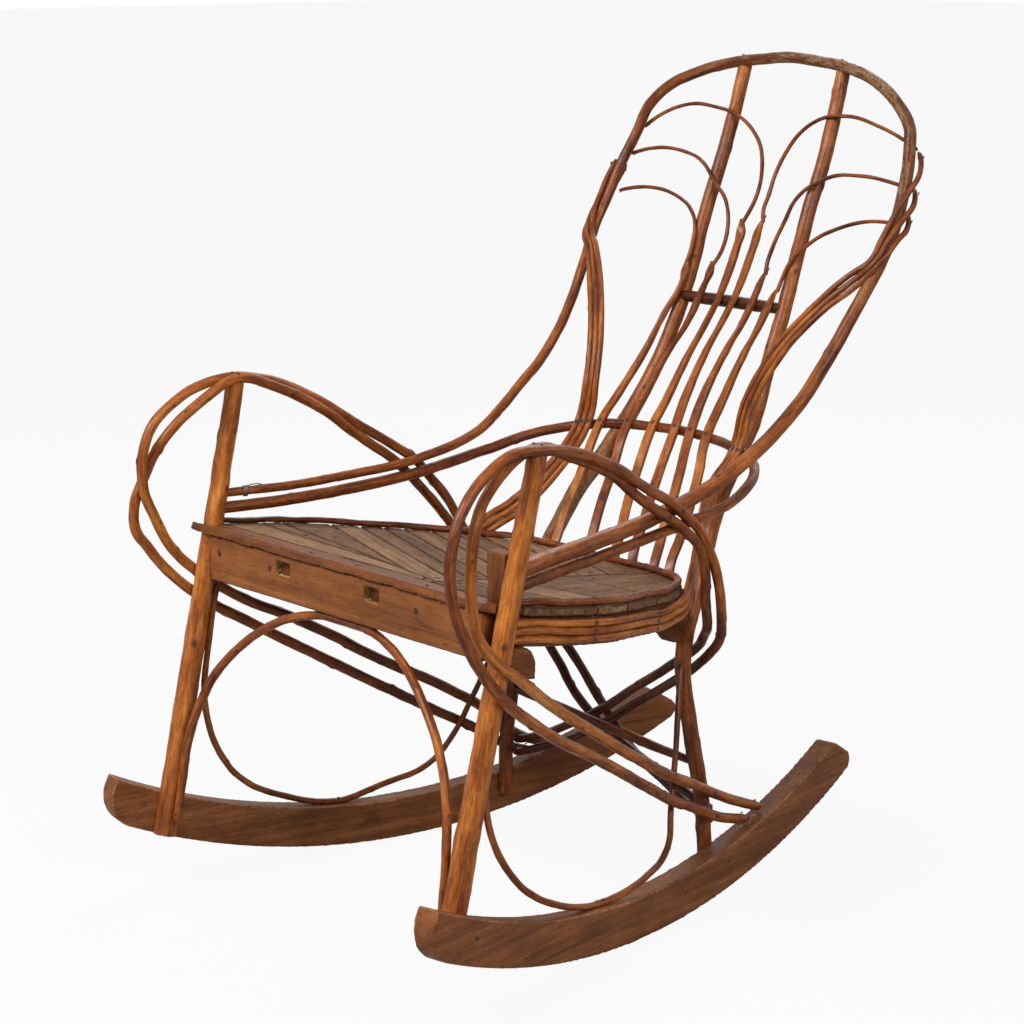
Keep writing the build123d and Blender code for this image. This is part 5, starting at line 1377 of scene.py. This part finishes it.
@dataclass
class Studio:
    """A pale floor, soft lamps and the camera."""

    azimuth: float = 48.432
    elevation: float = 12.409
    eye: tuple[float, float, float] = (2.46747, -2.20036, 1.21196)
    focal_px: float = 2700.0
    frame_px: float = 1024.0
    floor_white: float = 0.50
    floor_veil: float = 0.92     # share of plain white that the camera sees on the floor
    sky: float = 0.34

    def camera(self) -> None:
        """Place the camera."""
        data = bpy.data.cameras.new("camera")
        data.sensor_width, data.lens = 36.0, 36.0 * self.focal_px / self.frame_px
        camera = placed("camera", data)
        az, el = radians(self.azimuth), radians(self.elevation)
        ahead = Vector((-sin(az) * cos(el), cos(az) * cos(el), -sin(el)))
        camera.location = self.eye
        camera.rotation_euler = ahead.to_track_quat("-Z", "Y").to_euler()
        bpy.context.scene.camera = camera

    def lamp(self, name: str, place: tuple[float, float, float], size: float, power: float,
             colour: tuple[float, float, float]) -> None:
        """Hang one soft lamp that faces the chair."""
        data = bpy.data.lights.new(name, "AREA")
        data.shape, data.size, data.energy, data.color = "DISK", size, power, colour
        lamp = placed(name, data)
        lamp.location = place
        lamp.rotation_euler = (Vector((0, 0, 0.5)) - Vector(place)).to_track_quat("-Z", "Y").to_euler()

    def floor(self) -> None:
        """Lay the floor: it takes the shadow, and is nearly white to the camera."""
        mesh = bpy.data.meshes.new("floor")
        reach = 30.0
        mesh.from_pydata([(-reach, -reach, 0), (reach, -reach, 0), (reach, reach, 0), (-reach, reach, 0)], [],
                         [(0, 1, 2, 3)])
        floor = placed("floor", mesh)
        s = Surface("pale_floor")
        plain = s.of("ShaderNodeBsdfDiffuse", {"Color": (self.floor_white,) * 3 + (1.0,)})
        veil = s.of("ShaderNodeEmission", {"Color": (1.0, 1.0, 1.0, 1.0), "Strength": 1.0})
        path = s.node("ShaderNodeLightPath")
        share = s.get(path, "Is Camera Ray") * self.floor_veil
        mixed = s.of("ShaderNodeMixShader", {0: share, 1: plain, 2: veil})
        s.node("ShaderNodeOutputMaterial", None, {"Surface": mixed})
        mesh.materials.append(s.material)

    def world(self) -> None:
        """Light the chair from all round, with white behind it."""
        world = bpy.data.worlds.new("studio")
        bpy.context.scene.world = world
        world.use_nodes = True
        world.node_tree.nodes.clear()
        g = Graph(world.node_tree)
        path = g.node("ShaderNodeLightPath")
        seen = g.get(path, "Is Camera Ray") + g.get(path, "Is Transmission Ray") + g.get(path, "Is Glossy Ray")
        strength = g.math("MINIMUM", seen, 1.0) * (1.0 - self.sky) + self.sky
        sky = g.of("ShaderNodeBackground", {"Color": (1.0, 1.0, 1.0, 1.0), "Strength": strength})
        g.node("ShaderNodeOutputWorld", None, {"Surface": sky})

    def build(self) -> None:
        """Set up floor, world, lamps and camera."""
        self.floor()
        self.world()
        self.lamp("key", (-0.4, -3.0, 3.2), 1.2, 150.0, (1.0, 0.98, 0.95))
        self.lamp("side", (3.2, -0.9, 2.4), 1.2, 60.0, (1.0, 0.99, 0.97))
        self.lamp("back", (-1.6, 2.6, 2.6), 1.6, 26.0, (0.97, 0.98, 1.0))
        self.camera()
        bpy.context.scene.view_settings.view_transform = "Standard"


def main() -> None:
    """Build every sub-assembly in order."""
    logging.basicConfig(level=logging.INFO)
    shop = Workshop()
    back = Back()
    Base().build(shop)
    back.build(shop)
    Arms().build(shop)
    Braces().build(shop)
    Seat().build(shop, back)
    WireTie().build(shop, back)
    shop.set_nails()
    Studio().build()


if __name__ == "__main__":
    main()
